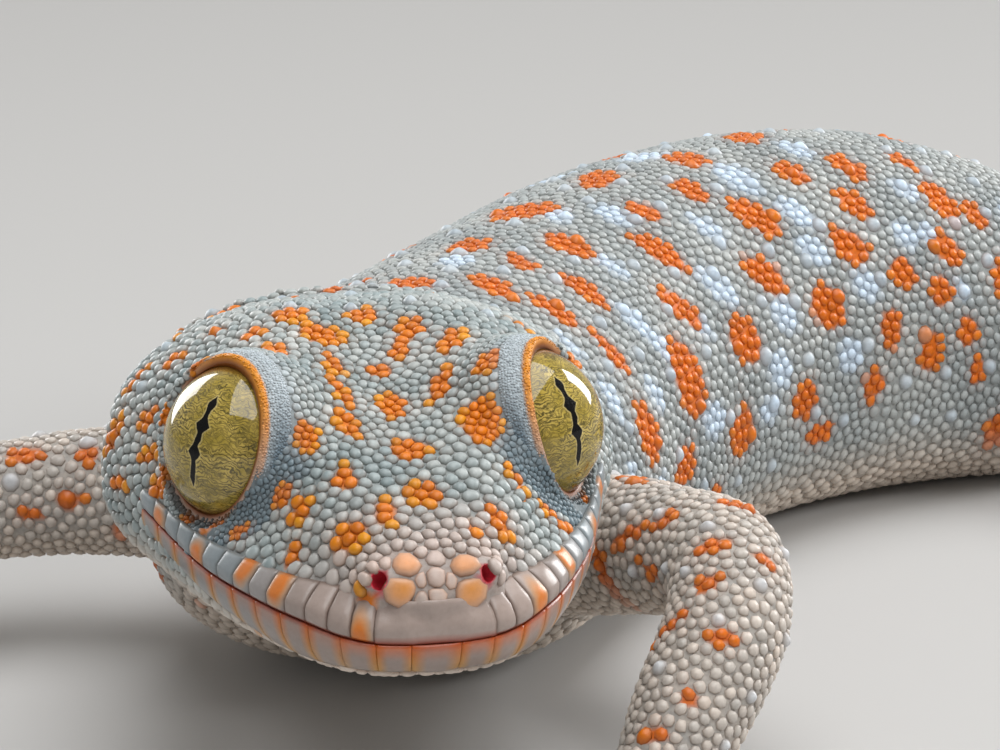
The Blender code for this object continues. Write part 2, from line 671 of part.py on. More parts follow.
def limb_rings(limb, first, last):
    """Round sections across a limb's curve between two shares of its length, half a gap short at joints."""
    path = smooth_path(np.column_stack([limb["points"], limb["radii"]]), 120)
    shares = np.linspace(0, 1, len(path))
    angle = 2 * math.pi * np.arange(LIMB_SIDES) / LIMB_SIDES
    rings = []
    up = np.array([0, 0, 1.0])
    for share in np.linspace(first, last, max(3, round(LIMB_RINGS * (last - first)) + 1)):
        here = np.array([np.interp(share, shares, path[:, k]) for k in range(4)])
        ahead = np.array([np.interp(min(share + 0.01, 1), shares, path[:, k]) for k in range(3)])
        behind = np.array([np.interp(max(share - 0.01, 0), shares, path[:, k]) for k in range(3)])
        axes = frame_along(ahead - behind, up)
        up = axes[2]
        inward = (share == first) * (first > 0) - 1.0 * (share == last) * (last < 1)
        middle = here[:3] + axes[0] * inward * GAP / 2
        rings.append(middle + here[3] * (np.cos(angle)[:, None] * axes[1] + np.sin(angle)[:, None] * axes[2]))
    return rings


def toe(origin, heading, length):
    """One toe on the floor, from the palm out to its claw."""
    forward = np.array([math.cos(heading), math.sin(heading), 0])
    across = np.array([-forward[1], forward[0], 0])
    rings = []
    for share, width, underside, top in TOE_ROWS:
        middle = origin + forward * (length * share + TOE_ROOT)
        angle = 2 * math.pi * np.arange(TOE_SIDES) / TOE_SIDES
        x = width * np.cos(angle)
        z = (top + underside) / 2 + (top - underside) / 2 * np.sin(angle)
        ring = middle + x[:, None] * across
        ring[:, 2] = z
        rings.append(ring)
    return loft("toe", rings)


FLOOR_BLOCK = (60, 60, 10)


def floor_block(centre):
    """Material under the floor, which presses a foot's soles flat."""
    made = bmesh.new()
    bmesh.ops.create_cube(made, size=1.0)
    middle = (centre[0], centre[1], -FLOOR_BLOCK[2] / 2)
    points = np.array([v.co for v in made.verts]) * FLOOR_BLOCK + middle
    faces = [[v.index for v in f.verts] for f in made.faces]
    made.free()
    return mesh_object("floor block", points, faces)


# Shares of a limb's curve at the elbow or knee, and at the wrist or ankle.
SECOND_JOINT = 0.52
WRIST = 0.90


def build_limb(limb, body):
    """Upper limb, lower limb and foot, each cut clear of the one before."""
    upper_name, lower_name, foot_name = limb["nodes"]
    upper = loft(upper_name, limb_rings(limb, 0, SECOND_JOINT))
    combine(upper, "DIFFERENCE", [body_cutter(body)])
    loft(lower_name, limb_rings(limb, SECOND_JOINT, WRIST))
    foot = loft(foot_name, limb_rings(limb, WRIST, 1.0))
    wrist = np.array(limb["points"][-1], float)
    heading = math.radians(limb["heading"])
    forward = np.array([math.cos(heading), math.sin(heading), 0])
    palm_centre = wrist + forward * PALM_REACH
    palm_centre[2] = PALM_LIFT
    pieces = [ellipsoid("palm", palm_centre, PALM_RADII, frame_along(forward), segments=10, rings=6)]
    for turn, toe_length in limb["toes"]:
        pieces.append(toe(palm_centre, heading + math.radians(turn), toe_length))
    combine(foot, "UNION", pieces)
    combine(foot, "DIFFERENCE", [floor_block(wrist)])


def paint(target, name, colour, roughness):
    """Gives an object its own plain material."""
    material = bpy.data.materials.new(name)
    material.use_nodes = True
    shader = material.node_tree.nodes["Principled BSDF"]
    shader.inputs["Base Color"].default_value = (*colour, 1)
    shader.inputs["Roughness"].default_value = roughness
    target.data.materials.clear()
    target.data.materials.append(material)


def main():
    for old in list(bpy.data.objects):
        bpy.data.objects.remove(old)
    gecko = bpy.data.collections.new("gecko")
    bpy.context.scene.collection.children.link(gecko)
    build_head()
    body = Body()
    build_body(body)
    for limb in LIMBS.values():
        build_limb(limb, body)
    for target in gecko.objects:
        if target.name.startswith("eye"):
            paint(target, "golden eye", (0.42, 0.36, 0.10), 0.15)
        else:
            paint(target, "blue grey skin", (0.45, 0.50, 0.55), 0.5)


main()
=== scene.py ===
"""The looks of a life-size tokay gecko: one skin under a coat of scales, lips, lids, eyes and claws.

Forms are worked out in millimetres from the floor below the middle of the head, and `metres` puts them
in the frame, whose origin is the middle of the belly's flat. In the head's own frame the origin is
midway between the eyes, +X is the gecko's left, +Y runs back to the neck and +Z is up.
"""

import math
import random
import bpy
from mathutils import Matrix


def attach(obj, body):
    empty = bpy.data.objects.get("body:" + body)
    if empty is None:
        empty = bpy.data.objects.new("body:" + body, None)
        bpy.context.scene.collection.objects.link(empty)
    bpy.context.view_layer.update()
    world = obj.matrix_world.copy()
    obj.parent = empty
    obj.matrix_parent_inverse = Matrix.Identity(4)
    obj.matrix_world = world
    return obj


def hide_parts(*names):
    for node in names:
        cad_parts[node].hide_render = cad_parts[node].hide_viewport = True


bl_info = {
    "name": "Tokay Gecko Looks",
    "version": (1, 0, 0),
    "blender": (4, 5, 0),
    "location": "3D View > Sidebar > Gecko",
    "description": "Skin, scales, lips, lids, eyes and claws of a life-size tokay gecko",
    "category": "Add Mesh",
}

import bmesh
import bpy
import numpy as np
from bpy.props import FloatProperty, FloatVectorProperty, IntProperty, PointerProperty
from mathutils import Vector
from mathutils.bvhtree import BVHTree
from mathutils.kdtree import KDTree

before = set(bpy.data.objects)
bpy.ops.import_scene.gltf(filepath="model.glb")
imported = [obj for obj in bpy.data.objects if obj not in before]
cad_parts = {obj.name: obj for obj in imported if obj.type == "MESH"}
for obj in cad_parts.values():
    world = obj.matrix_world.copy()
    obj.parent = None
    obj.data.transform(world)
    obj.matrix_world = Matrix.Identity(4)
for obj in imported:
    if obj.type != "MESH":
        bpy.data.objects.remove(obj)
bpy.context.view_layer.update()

MM = 0.001
BELLY_MIDDLE = np.array([31.0, 90.0, 0.0])
HEAD_CENTRE = np.array([0.0, 0.0, 32.0])
HEAD_TURN = math.radians(11.5)

# Station along the head, half width, height of the widest level, top, underside.
HEAD_ROWS = [
    (-20.6, 2.2, -7.5, -5.9, -9.4),
    (-20.0, 4.6, -7.4, -4.7, -11.0),
    (-18.6, 6.9, -7.2, -3.3, -12.0),
    (-15.5, 9.6, -7.0, -1.7, -12.8),
    (-11.0, 12.1, -6.8, 0.4, -13.2),
    (-6.0, 14.3, -6.5, 2.9, -13.5),
    (0.0, 16.2, -6.0, 5.2, -13.9),
    (6.0, 17.8, -5.2, 6.3, -14.2),
    (12.0, 19.0, -4.4, 6.8, -14.6),
    (15.5, 18.7, -4.3, 6.6, -14.8),
    (19.0, 16.8, -4.6, 5.8, -15.0),
]
HEAD_FRONT = -20.6
HEAD_REAR = 19.0
UPPER_SQUARENESS = 2.35
LOWER_SQUARENESS = 3.0
MOUTH_LINE = [(-24.0, -9.1), (-20.6, -9.05), (-19.0, -8.75), (-16.5, -8.25), (-13.0, -8.0), (-7.0, -7.6),
              (0.0, -6.7), (5.0, -5.8)]

EYE_SIDE = 10.35
EYE_OUTWARD = math.radians(60)
EYE_UPWARD = math.radians(16)
EYE_RADIUS = 6.0
SOCKET_MOUND = 7.1
LID_HALF_WIDTH = math.radians(60)
LID_HALF_HEIGHT = math.radians(65)
HOLLOW_DEPTH = 6.7
HOLLOW_SHARE = 1.5
HOLLOW_RISE = (1.2, 1.2)
# Middle, radii and outward direction in the head's frame, on the left.
NOSTRIL = ((3.6, -18.9, -4.8), (1.3, 0.55, 0.65), (0.62, -0.6, 0.45))
NOSTRIL_SWELLING = ((3.3, -17.9, -4.9), (2.2, 2.0, 1.6))
EAR = ((18.9, 14.2, -4.4), (2.4, 1.1, 2.9), (1.0, 0.25, 0.0))
EAR_TILT = (0, 0.35, 1)

# Path of the spine from above, then half width, underside and top. Below 0 the body is pressed flat.
SPINE = [
    (-4.6, 26.5, 15.2, 7.0, 35.6),
    (-3.6, 34.5, 18.2, 1.6, 33.2),
    (0.5, 43.0, 19.4, 0.0, 31.6),
    (9.5, 62.0, 18.4, -0.8, 32.4),
    (21.0, 80.0, 18.6, -0.9, 33.8),
    (31.0, 90.0, 18.9, -0.9, 34.0),
    (42.0, 96.8, 18.4, -0.9, 33.0),
    (51.5, 99.6, 16.8, -0.9, 30.4),
    (62.0, 99.5, 14.2, -0.8, 26.2),
    (72.0, 97.0, 12.4, -0.6, 22.2),
    (84.0, 92.5, 8.8, -0.5, 16.2),
    (96.0, 92.5, 7.6, -0.5, 13.6),
    (110.0, 96.5, 6.5, -0.5, 11.4),
    (124.0, 105.0, 5.3, -0.5, 9.2),
    (135.0, 118.0, 4.1, -0.4, 7.0),
    (141.0, 134.0, 3.0, -0.4, 5.1),
    (140.0, 150.0, 2.0, -0.3, 3.5),
    (132.0, 163.0, 1.2, -0.3, 2.2),
    (121.0, 170.0, 0.5, -0.2, 1.1),
]
TAIL_START = 11
BODY_WIDEST = 0.42
BODY_UPPER_SQUARENESS = 2.1
BODY_LOWER_SQUARENESS = 2.5

# Limbs: points from inside the body to the palm, radii there, the way the toes point, and the toes as
# turn and length.
LIMBS = {
    "arm_left": (
        [(6.0, 39.0, 12.5), (13.6, 33.0, 13.0), (22.0, 20.0, 16.4), (25.9, 13.0, 17.4),
         (26.0, 8.2, 15.4), (22.6, 1.5, 9.2), (19.4, -4.2, 4.4), (18.6, -7.5, 3.0)],
        [6.6, 6.2, 5.3, 4.9, 4.9, 4.6, 3.3, 3.0],
        -97.0, [(-72, 7.5), (-38, 10.0), (-4, 11.0), (30, 10.5), (66, 8.5)]),
    "arm_right": (
        [(-7.0, 44.0, 12.0), (-13.8, 45.6, 12.5), (-30.5, 46.4, 12.6), (-37.5, 44.4, 11.8),
         (-41.5, 41.0, 10.0), (-47.5, 33.8, 5.8), (-51.6, 28.6, 3.9), (-53.6, 25.8, 2.9)],
        [6.6, 6.2, 5.3, 4.9, 4.9, 4.4, 3.2, 3.0],
        -122.0, [(-66, 8.5), (-30, 10.5), (4, 11.0), (38, 10.0), (72, 7.5)]),
    "leg_left": (
        [(70.0, 93.0, 10.5), (73.0, 87.0, 10.8), (80.0, 75.0, 12.6), (84.5, 68.4, 12.8),
         (90.0, 67.6, 11.0), (98.6, 71.0, 6.6), (105.2, 73.6, 3.9), (108.4, 74.6, 2.9)],
        [7.4, 7.2, 6.2, 5.5, 5.3, 4.4, 3.2, 3.1],
        4.0, [(-84, 8.0), (-46, 11.5), (-12, 12.5), (22, 12.5), (64, 9.5)]),
    "leg_right": (
        [(66.0, 102.0, 10.5), (62.6, 108.0, 10.6), (53.0, 118.0, 11.6), (47.0, 124.6, 11.6),
         (47.6, 131.2, 10.4), (54.4, 139.6, 6.4), (59.8, 145.8, 3.9), (62.0, 148.6, 2.9)],
        [7.4, 7.2, 6.2, 5.5, 5.3, 4.4, 3.2, 3.1],
        66.0, [(-64, 9.5), (-22, 12.5), (12, 12.5), (46, 11.5), (84, 8.0)]),
}
PALM_RADII = (5.2, 4.6, 2.7)
PALM_REACH = 2.2
PALM_LIFT = 2.2
TOE_ROOT = 2.6
# Share of the toe's length, half width, underside and top.
TOE_ROWS = [
    (0.0, 1.5, 0.3, 3.3),
    (0.30, 1.15, 0.1, 2.7),
    (0.46, 1.7, -0.3, 2.2),
    (0.66, 2.15, -0.3, 1.8),
    (0.84, 1.95, -0.3, 1.5),
    (0.95, 1.1, -0.3, 1.35),
    (1.0, 0.5, 0.25, 1.35),
]

FLESH = ["head", "lower_jaw", "neck", "chest", "belly", "pelvis", "tail_base", "tail_middle", "tail_rear",
         "tail_tip"]
FLESH += [f"{part}_{side}" for part in ("upper_arm", "forearm", "hand", "thigh", "shank", "foot")
          for side in ("left", "right")]

# The photograph's camera: its frame in pixels, its lens, and where the middle of the head shows.
PHOTO_SIZE = (1000, 750)
SENSOR = 36.0
LENS = 146.9
CAMERA_DISTANCE = 300.0
CAMERA_ELEVATION = math.radians(16)
CAMERA_SHIFT = (8.46, 4.41)

# Orange spots on the head and pale or orange ones on the trunk and arms: middle and size in pixels of
# the photograph.
HEAD_SPOTS = [
    (274, 352, 28, 18), (321, 335, 45, 22), (290, 315, 34, 18), (254, 334, 30, 12), (331, 365, 18, 26),
    (339, 392, 18, 32), (347, 425, 24, 30), (392, 407, 30, 28), (409, 451, 42, 24), (344, 478, 26, 26),
    (424, 495, 38, 22), (387, 513, 26, 24), (307, 437, 24, 36), (283, 495, 24, 28), (300, 510, 20, 28),
    (350, 537, 34, 34), (294, 556, 18, 22), (481, 423, 42, 46), (442, 384, 22, 42), (489, 360, 32, 28),
    (452, 341, 20, 30), (399, 349, 22, 24), (411, 328, 28, 26), (378, 372, 28, 14), (362, 316, 34, 18),
    (519, 487, 13, 46), (498, 522, 26, 36), (469, 526, 13, 24), (555, 519, 38, 20), (517, 326, 20, 16),
    (114, 437, 18, 38), (137, 380, 26, 20), (149, 418, 20, 24), (150, 456, 22, 16), (162, 484, 26, 30),
    (118, 484, 20, 22), (174, 361, 24, 18), (217, 333, 26, 12), (226, 315, 28, 14), (153, 339, 24, 14),
    (193, 517, 28, 16), (217, 526, 30, 15), (241, 531, 26, 14), (583, 497, 14, 18), (367, 599, 22, 22), (120, 532, 14, 16), (195, 598, 16, 24), (250, 622, 16, 20), (148, 545, 12, 20), (160, 573, 14, 16),
]
BODY_ORANGE = [
    (523, 212, 62, 24), (470, 246, 40, 18), (404, 240, 38, 16), (410, 284, 50, 16), (346, 288, 44, 20),
    (597, 180, 34, 26), (687, 160, 40, 18), (745, 138, 30, 26), (690, 190, 34, 24), (520, 262, 30, 18),
    (568, 245, 46, 22), (646, 212, 36, 18), (660, 252, 54, 30), (755, 217, 50, 32), (793, 173, 36, 20),
    (849, 168, 34, 26), (854, 204, 36, 26), (495, 287, 40, 22), (585, 290, 44, 26), (555, 311, 40, 26),
    (680, 308, 44, 30), (765, 275, 42, 34), (850, 246, 40, 34), (611, 352, 36, 32), (745, 340, 34, 46),
    (828, 307, 36, 44), (903, 272, 28, 30), (688, 378, 32, 76), (648, 432, 24, 56), (891, 328, 22, 38),
    (940, 200, 34, 38), (948, 250, 28, 34), (942, 292, 22, 30), (805, 401, 24, 36), (742, 430, 22, 44),
    (684, 467, 20, 40), (873, 385, 22, 32), (820, 432, 30, 22), (930, 352, 22, 40), (968, 332, 18, 30),
    (977, 370, 16, 26), (635, 480, 18, 30), (900, 160, 30, 16), (975, 215, 24, 26),
]
BODY_PALE = [
    (548, 182, 40, 22), (642, 158, 44, 20), (612, 215, 34, 20), (557, 216, 30, 18), (737, 178, 44, 30),
    (707, 228, 36, 24), (796, 213, 40, 26), (610, 265, 36, 22), (634, 320, 38, 28), (718, 287, 42, 30),
    (795, 150, 32, 18), (812, 250, 34, 26), (570, 345, 24, 22), (660, 345, 26, 26), (785, 315, 28, 34),
    (700, 325, 26, 22), (714, 420, 24, 34), (866, 285, 28, 30), (905, 235, 26, 28), (850, 355, 26, 30),
    (780, 370, 24, 36), (612, 400, 24, 36), (455, 262, 34, 16), (440, 222, 34, 14), (928, 235, 22, 26),
    (375, 262, 30, 14), (905, 190, 28, 20), (770, 410, 22, 26), (655, 395, 20, 30), (962, 290, 16, 22),
]
ARM_ORANGE = [
    (614, 590, 26, 50), (560, 634, 20, 22), (628, 535, 30, 18), (706, 585, 26, 20), (668, 629, 30, 18),
    (712, 545, 32, 14), (722, 637, 28, 18), (640, 668, 26, 16), (617, 713, 22, 18), (690, 700, 24, 14),
    (592, 552, 22, 18), (665, 520, 26, 14), (655, 735, 24, 14), (765, 560, 22, 16), (25, 455, 34, 16),
    (70, 500, 28, 16), (30, 515, 30, 14), (88, 455, 20, 16), (735, 505, 30, 12), (650, 570, 20, 14),
]
# The pupil's upper end, middle and lower end in each eye, in pixels of the photograph.
PUPILS = {"eye_right": [(214, 396), (197, 441), (191, 487)], "eye_left": [(563, 384), (575, 420), (579, 471)]}


def linear(red, green, blue):
    """A colour for shaders from its screen values, 0 to 255."""
    shares = np.array([red, green, blue]) / 255
    return np.where(shares <= 0.04045, shares / 12.92, ((shares + 0.055) / 1.055) ** 2.4)


def metres(points):
    return (np.asarray(points, float) - BELLY_MIDDLE) * MM


def smooth_rows(rows, at):
    """Values of the rows' columns at these stations, by cubics that don't overshoot."""
    table = np.array(rows, float)
    xs, ys = table[:, 0], table[:, 1:]
    slope = np.diff(ys, axis=0) / np.diff(xs)[:, None]
    tangent = np.vstack([slope[:1], np.zeros_like(slope[1:]), slope[-1:]])
    rising = slope[:-1] * slope[1:] > 0
    total = np.where(rising, slope[:-1] + slope[1:], 1.0)
    tangent[1:-1] = np.where(rising, 2 * slope[:-1] * slope[1:] / total, 0.0)
    at = np.atleast_1d(np.asarray(at, float))
    i = np.clip(np.searchsorted(xs, at, side="right") - 1, 0, len(xs) - 2)
    h = np.diff(xs)[i][:, None]
    t = (at - xs[i])[:, None] / h
    return (ys[i] * (1 + 2 * t) * (1 - t) ** 2 + tangent[i] * h * t * (1 - t) ** 2
            + ys[i + 1] * t * t * (3 - 2 * t) + tangent[i + 1] * h * t * t * (t - 1))


def smooth_path(points, count):
    """Points spaced evenly along a smooth curve through these points."""
    points = np.array(points, float)
    knots = np.concatenate([[0], np.cumsum(np.linalg.norm(np.diff(points, axis=0), axis=1))])
    tangent = np.gradient(points, knots, axis=0)
    fine = np.linspace(0, knots[-1], 20 * len(points))
    i = np.clip(np.searchsorted(knots, fine, side="right") - 1, 0, len(knots) - 2)
    h = (knots[i + 1] - knots[i])[:, None]
    t = (fine - knots[i])[:, None] / h
    curve = (points[i] * (1 + 2 * t) * (1 - t) ** 2 + tangent[i] * h * t * (1 - t) ** 2
             + points[i + 1] * t * t * (3 - 2 * t) + tangent[i + 1] * h * t * t * (t - 1))
    length = np.concatenate([[0], np.cumsum(np.linalg.norm(np.diff(curve, axis=0), axis=1))])
    even = np.linspace(0, length[-1], count)
    return np.stack([np.interp(even, length, curve[:, k]) for k in range(curve.shape[1])], 1)


def section(half_width, widest, top, underside, sides, upper, lower):
    """Across and height of one closed section, from its left side over the top."""
    angle = 2 * math.pi * np.arange(sides) / sides
    c, s = np.cos(angle), np.sin(angle)
    power = np.where(s >= 0, upper, lower)
    reach = np.where(s >= 0, top - widest, widest - underside)
    return half_width * np.sign(c) * np.abs(c) ** (2 / power), widest + reach * np.sign(s) * np.abs(s) ** (2 / power)


def frame_along(direction, upward=(0, 0, 1)):
    """Rows: a unit vector along direction, one across it and one at right angles to both."""
    along = np.asarray(direction, float) / np.linalg.norm(direction)
    across = np.cross(upward, along)
    across /= np.linalg.norm(across)
    return np.array([along, across, np.cross(along, across)])


def head_to_world(points):
    x, y, z = np.asarray(points, float).T
    c, s = math.cos(HEAD_TURN), math.sin(HEAD_TURN)
    return np.stack([x * c - y * s, x * s + y * c, z], -1) + HEAD_CENTRE


def world_to_head(points):
    x, y, z = (np.asarray(points, float) - HEAD_CENTRE).T
    c, s = math.cos(HEAD_TURN), math.sin(HEAD_TURN)
    return np.stack([x * c + y * s, y * c - x * s, z], -1)


def mirrored_place(centre, side):
    """A place on the head's left, or its twin on the right, in the gecko's frame."""
    return head_to_world([(side * centre[0], centre[1], centre[2])])[0]


def head_direction(vector):
    return head_to_world([vector])[0] - HEAD_CENTRE


def hill(points, centre, radii):
    """A smooth hill that is 1 at its centre and fades over these radii."""
    return np.exp(-np.sum(((points - np.asarray(centre)) / np.asarray(radii)) ** 2, axis=1))


def head_relief(points):
    """The forehead's hollow, the brows, the snout's top groove and the cheeks, as moves of points."""
    move = np.zeros_like(points)
    on_top = np.clip((points[:, 2] + 4) / 6, 0, 1)
    mirrored = np.abs(points) * [1, 0, 0] + points * [0, 1, 1]
    move[:, 2] -= 1.5 * on_top * hill(mirrored, (0, -2, 5), (4.5, 9, 20))
    move[:, 2] += 1.3 * on_top * hill(mirrored, (9.0, 0, 6), (3.6, 6.5, 20))
    move[:, 2] -= 0.5 * on_top * hill(mirrored, (0, -14, 0), (2.5, 5, 20))
    move[:, 2] += 0.6 * on_top * hill(mirrored, (6.0, 11, 6), (4.0, 5, 20))
    move[:, 0] += np.sign(points[:, 0]) * 0.8 * hill(mirrored, (18, 11, -6), (8, 5, 5))
    return move


def head_ring(station, sides):
    width, widest, top, underside = smooth_rows(HEAD_ROWS, station)[0]
    x, z = section(width, widest, top, underside, sides, UPPER_SQUARENESS, LOWER_SQUARENESS)
    ring = np.stack([x, np.full(sides, float(station)), z], -1)
    return orbit_hollow(ring + head_relief(ring))


def smooth_step(values):
    held = np.clip(values, 0, 1)
    return held * held * (3 - 2 * held)


def orbit_hollow(points):
    """Draws the surface in towards each eye, in front of it and below it, so that the lids stand free."""
    for side in (-1, 1):
        away = points - eye_centre(side)
        distance = np.linalg.norm(away, axis=1)
        free = smooth_step((opening_share(away, side) - 1) / (HOLLOW_SHARE - 1))
        above = smooth_step((points[:, 2] - mouth_height(points[:, 1]) - HOLLOW_RISE[0]) / HOLLOW_RISE[1])
        drawn = np.where(distance > HOLLOW_DEPTH, HOLLOW_DEPTH + (distance - HOLLOW_DEPTH) * free, distance)
        points = eye_centre(side) + away * (1 + (drawn / distance - 1) * above)[:, None]
    return points


def mouth_height(station):
    return smooth_rows(MOUTH_LINE, station)[:, 0]


def eye_centre(side):
    return np.array([side * EYE_SIDE, 0.0, 0.0])


def eye_frame(side):
    """Rows: the way the eye's opening faces, across it and up it, in the head's frame."""
    flat = math.cos(EYE_UPWARD)
    return frame_along((side * math.sin(EYE_OUTWARD) * flat, -math.cos(EYE_OUTWARD) * flat, math.sin(EYE_UPWARD)))


def lid_directions(side, widen, around):
    """Unit vectors round the eye's opening, widened by a share, at these turns."""
    forward, across, up = eye_frame(side)
    wide = LID_HALF_WIDTH * widen * np.cos(around)
    tall = LID_HALF_HEIGHT * widen * np.sin(around)
    turn = np.hypot(wide, tall)
    flat = (across * wide[:, None] + up * tall[:, None]) / turn[:, None]
    return forward * np.cos(turn)[:, None] + flat * np.sin(turn)[:, None]


def opening_share(away, side):
    """How far from the middle of the eye's opening these ways out of the eye point: 1 at its edge."""
    forward, across, up = eye_frame(side)
    turn = np.arccos(np.clip(away @ forward / (np.linalg.norm(away, axis=1) + 1e-9), -1, 1))
    sideways, upright = away @ across, away @ up
    spread = np.hypot(sideways, upright) + 1e-9
    return turn * np.hypot(sideways / spread / LID_HALF_WIDTH, upright / spread / LID_HALF_HEIGHT)


def lid_span(side, around):
    """How wide the lid is at each turn: full towards the snout, narrow at the back of the eye."""
    return 1 - 0.75 * lid_back(side, around)


def lid_back(side, around):
    """1 at the back of the eye, where scales take the lid's place, and 0 from the top round the front."""
    return 1 - smooth_step(0.75 - 0.85 * side * np.cos(around))


def lid_place(points, side):
    """Points of the head as shares of the lid's width, 1 at its inner edge, turns round it and distances."""
    away = points - eye_centre(side)
    _, across, up = eye_frame(side)
    around = np.arctan2(away @ up / LID_HALF_HEIGHT, away @ across / LID_HALF_WIDTH)
    share = 1 + (opening_share(away, side) - 1) / lid_span(side, around)
    distance = np.linalg.norm(away, axis=1)
    return np.where(distance < SOCKET_MOUND + 2.0, share, 9.0), around, distance


class Body:
    """The tube from the neck to the tail's tip, as sections in upright planes across the spine."""

    def __init__(self):
        width, _, top, underside = smooth_rows(HEAD_ROWS, HEAD_REAR)[0]
        rear = head_to_world([(0, HEAD_REAR + 0.3, 0)])[0]
        lift = HEAD_CENTRE[2]
        rows = np.array([(rear[0], rear[1], width, lift + underside, lift + top)] + SPINE)
        self.fine = smooth_path(rows[:, :2], 1200)
        steps = np.linalg.norm(np.diff(self.fine, axis=0), axis=1)
        self.distance = np.concatenate([[0], np.cumsum(steps)])
        near = [np.argmin(np.linalg.norm(self.fine - p, axis=1)) for p in rows[:, :2]]
        self.knots = self.distance[near]
        self.sizes = np.column_stack([self.knots, rows[:, 2:]])
        self.length = self.distance[-1]
        self.tail_start = self.knots[TAIL_START]

    def ring(self, s, sides):
        place = np.array([np.interp(s, self.distance, self.fine[:, k]) for k in (0, 1)])
        ahead = np.array([np.interp(min(s + 0.5, self.length), self.distance, self.fine[:, k]) for k in (0, 1)])
        behind = np.array([np.interp(max(s - 0.5, 0), self.distance, self.fine[:, k]) for k in (0, 1)])
        along = (ahead - behind) / np.linalg.norm(ahead - behind)
        if s <= 0:
            along = np.array([-math.sin(HEAD_TURN), math.cos(HEAD_TURN)])
        width, underside, top = smooth_rows(self.sizes, s)[0]
        widest = underside + (top - underside) * BODY_WIDEST
        x, z = section(width, widest, top, underside, sides, BODY_UPPER_SQUARENESS, BODY_LOWER_SQUARENESS)
        return np.column_stack([place[0] + along[1] * x, place[1] - along[0] * x, np.maximum(z, 0.0)])


def limb_rings(points, radii, sides, count):
    """Round sections across a limb's curve."""
    path = smooth_path(np.column_stack([points, radii]), 160)
    shares = np.linspace(0, 1, len(path))
    angle = 2 * math.pi * np.arange(sides) / sides
    rings = []
    up = np.array([0, 0, 1.0])
    for share in np.linspace(0, 1, count):
        here = np.array([np.interp(share, shares, path[:, k]) for k in range(4)])
        ahead = np.array([np.interp(min(share + 0.01, 1), shares, path[:, k]) for k in range(3)])
        behind = np.array([np.interp(max(share - 0.01, 0), shares, path[:, k]) for k in range(3)])
        axes = frame_along(ahead - behind, up)
        up = axes[2]
        rings.append(here[:3] + here[3] * (np.cos(angle)[:, None] * axes[1] + np.sin(angle)[:, None] * axes[2]))
    return rings


def ball_rings(centre, radii, axes, sides, count):
    """Sections of a stretched ball from pole to pole along its first axis."""
    angle = 2 * math.pi * np.arange(sides) / sides
    rings = []
    for turn in np.linspace(0.04, math.pi - 0.04, count):
        flat = np.stack([np.full(sides, -math.cos(turn)), math.sin(turn) * np.cos(angle),
                         math.sin(turn) * np.sin(angle)], -1)
        rings.append((flat * radii) @ np.asarray(axes) + centre)
    return rings


def toe_path(name, toe):
    """The palm's middle, the toe's heading as a unit vector and its length."""
    points, _, heading, toes = LIMBS[name]
    turned = math.radians(heading)
    palm = np.array(points[-1], float) + PALM_REACH * np.array([math.cos(turned), math.sin(turned), 0])
    palm[2] = PALM_LIFT
    angle = turned + math.radians(toes[toe][0])
    return palm, np.array([math.cos(angle), math.sin(angle), 0.0]), toes[toe][1]


def toe_rings(name, toe, sides, count):
    palm, forward, length = toe_path(name, toe)
    across = np.array([-forward[1], forward[0], 0])
    angle = 2 * math.pi * np.arange(sides) / sides
    rings = []
    for share in np.linspace(0, 1, count):
        width, underside, top = smooth_rows(TOE_ROWS, share)[0]
        middle = palm + forward * (length * share + TOE_ROOT)
        ring = middle + (width * np.cos(angle))[:, None] * across
        ring[:, 2] = np.maximum((top + underside) / 2 + (top - underside) / 2 * np.sin(angle), 0.0)
        rings.append(ring)
    return rings


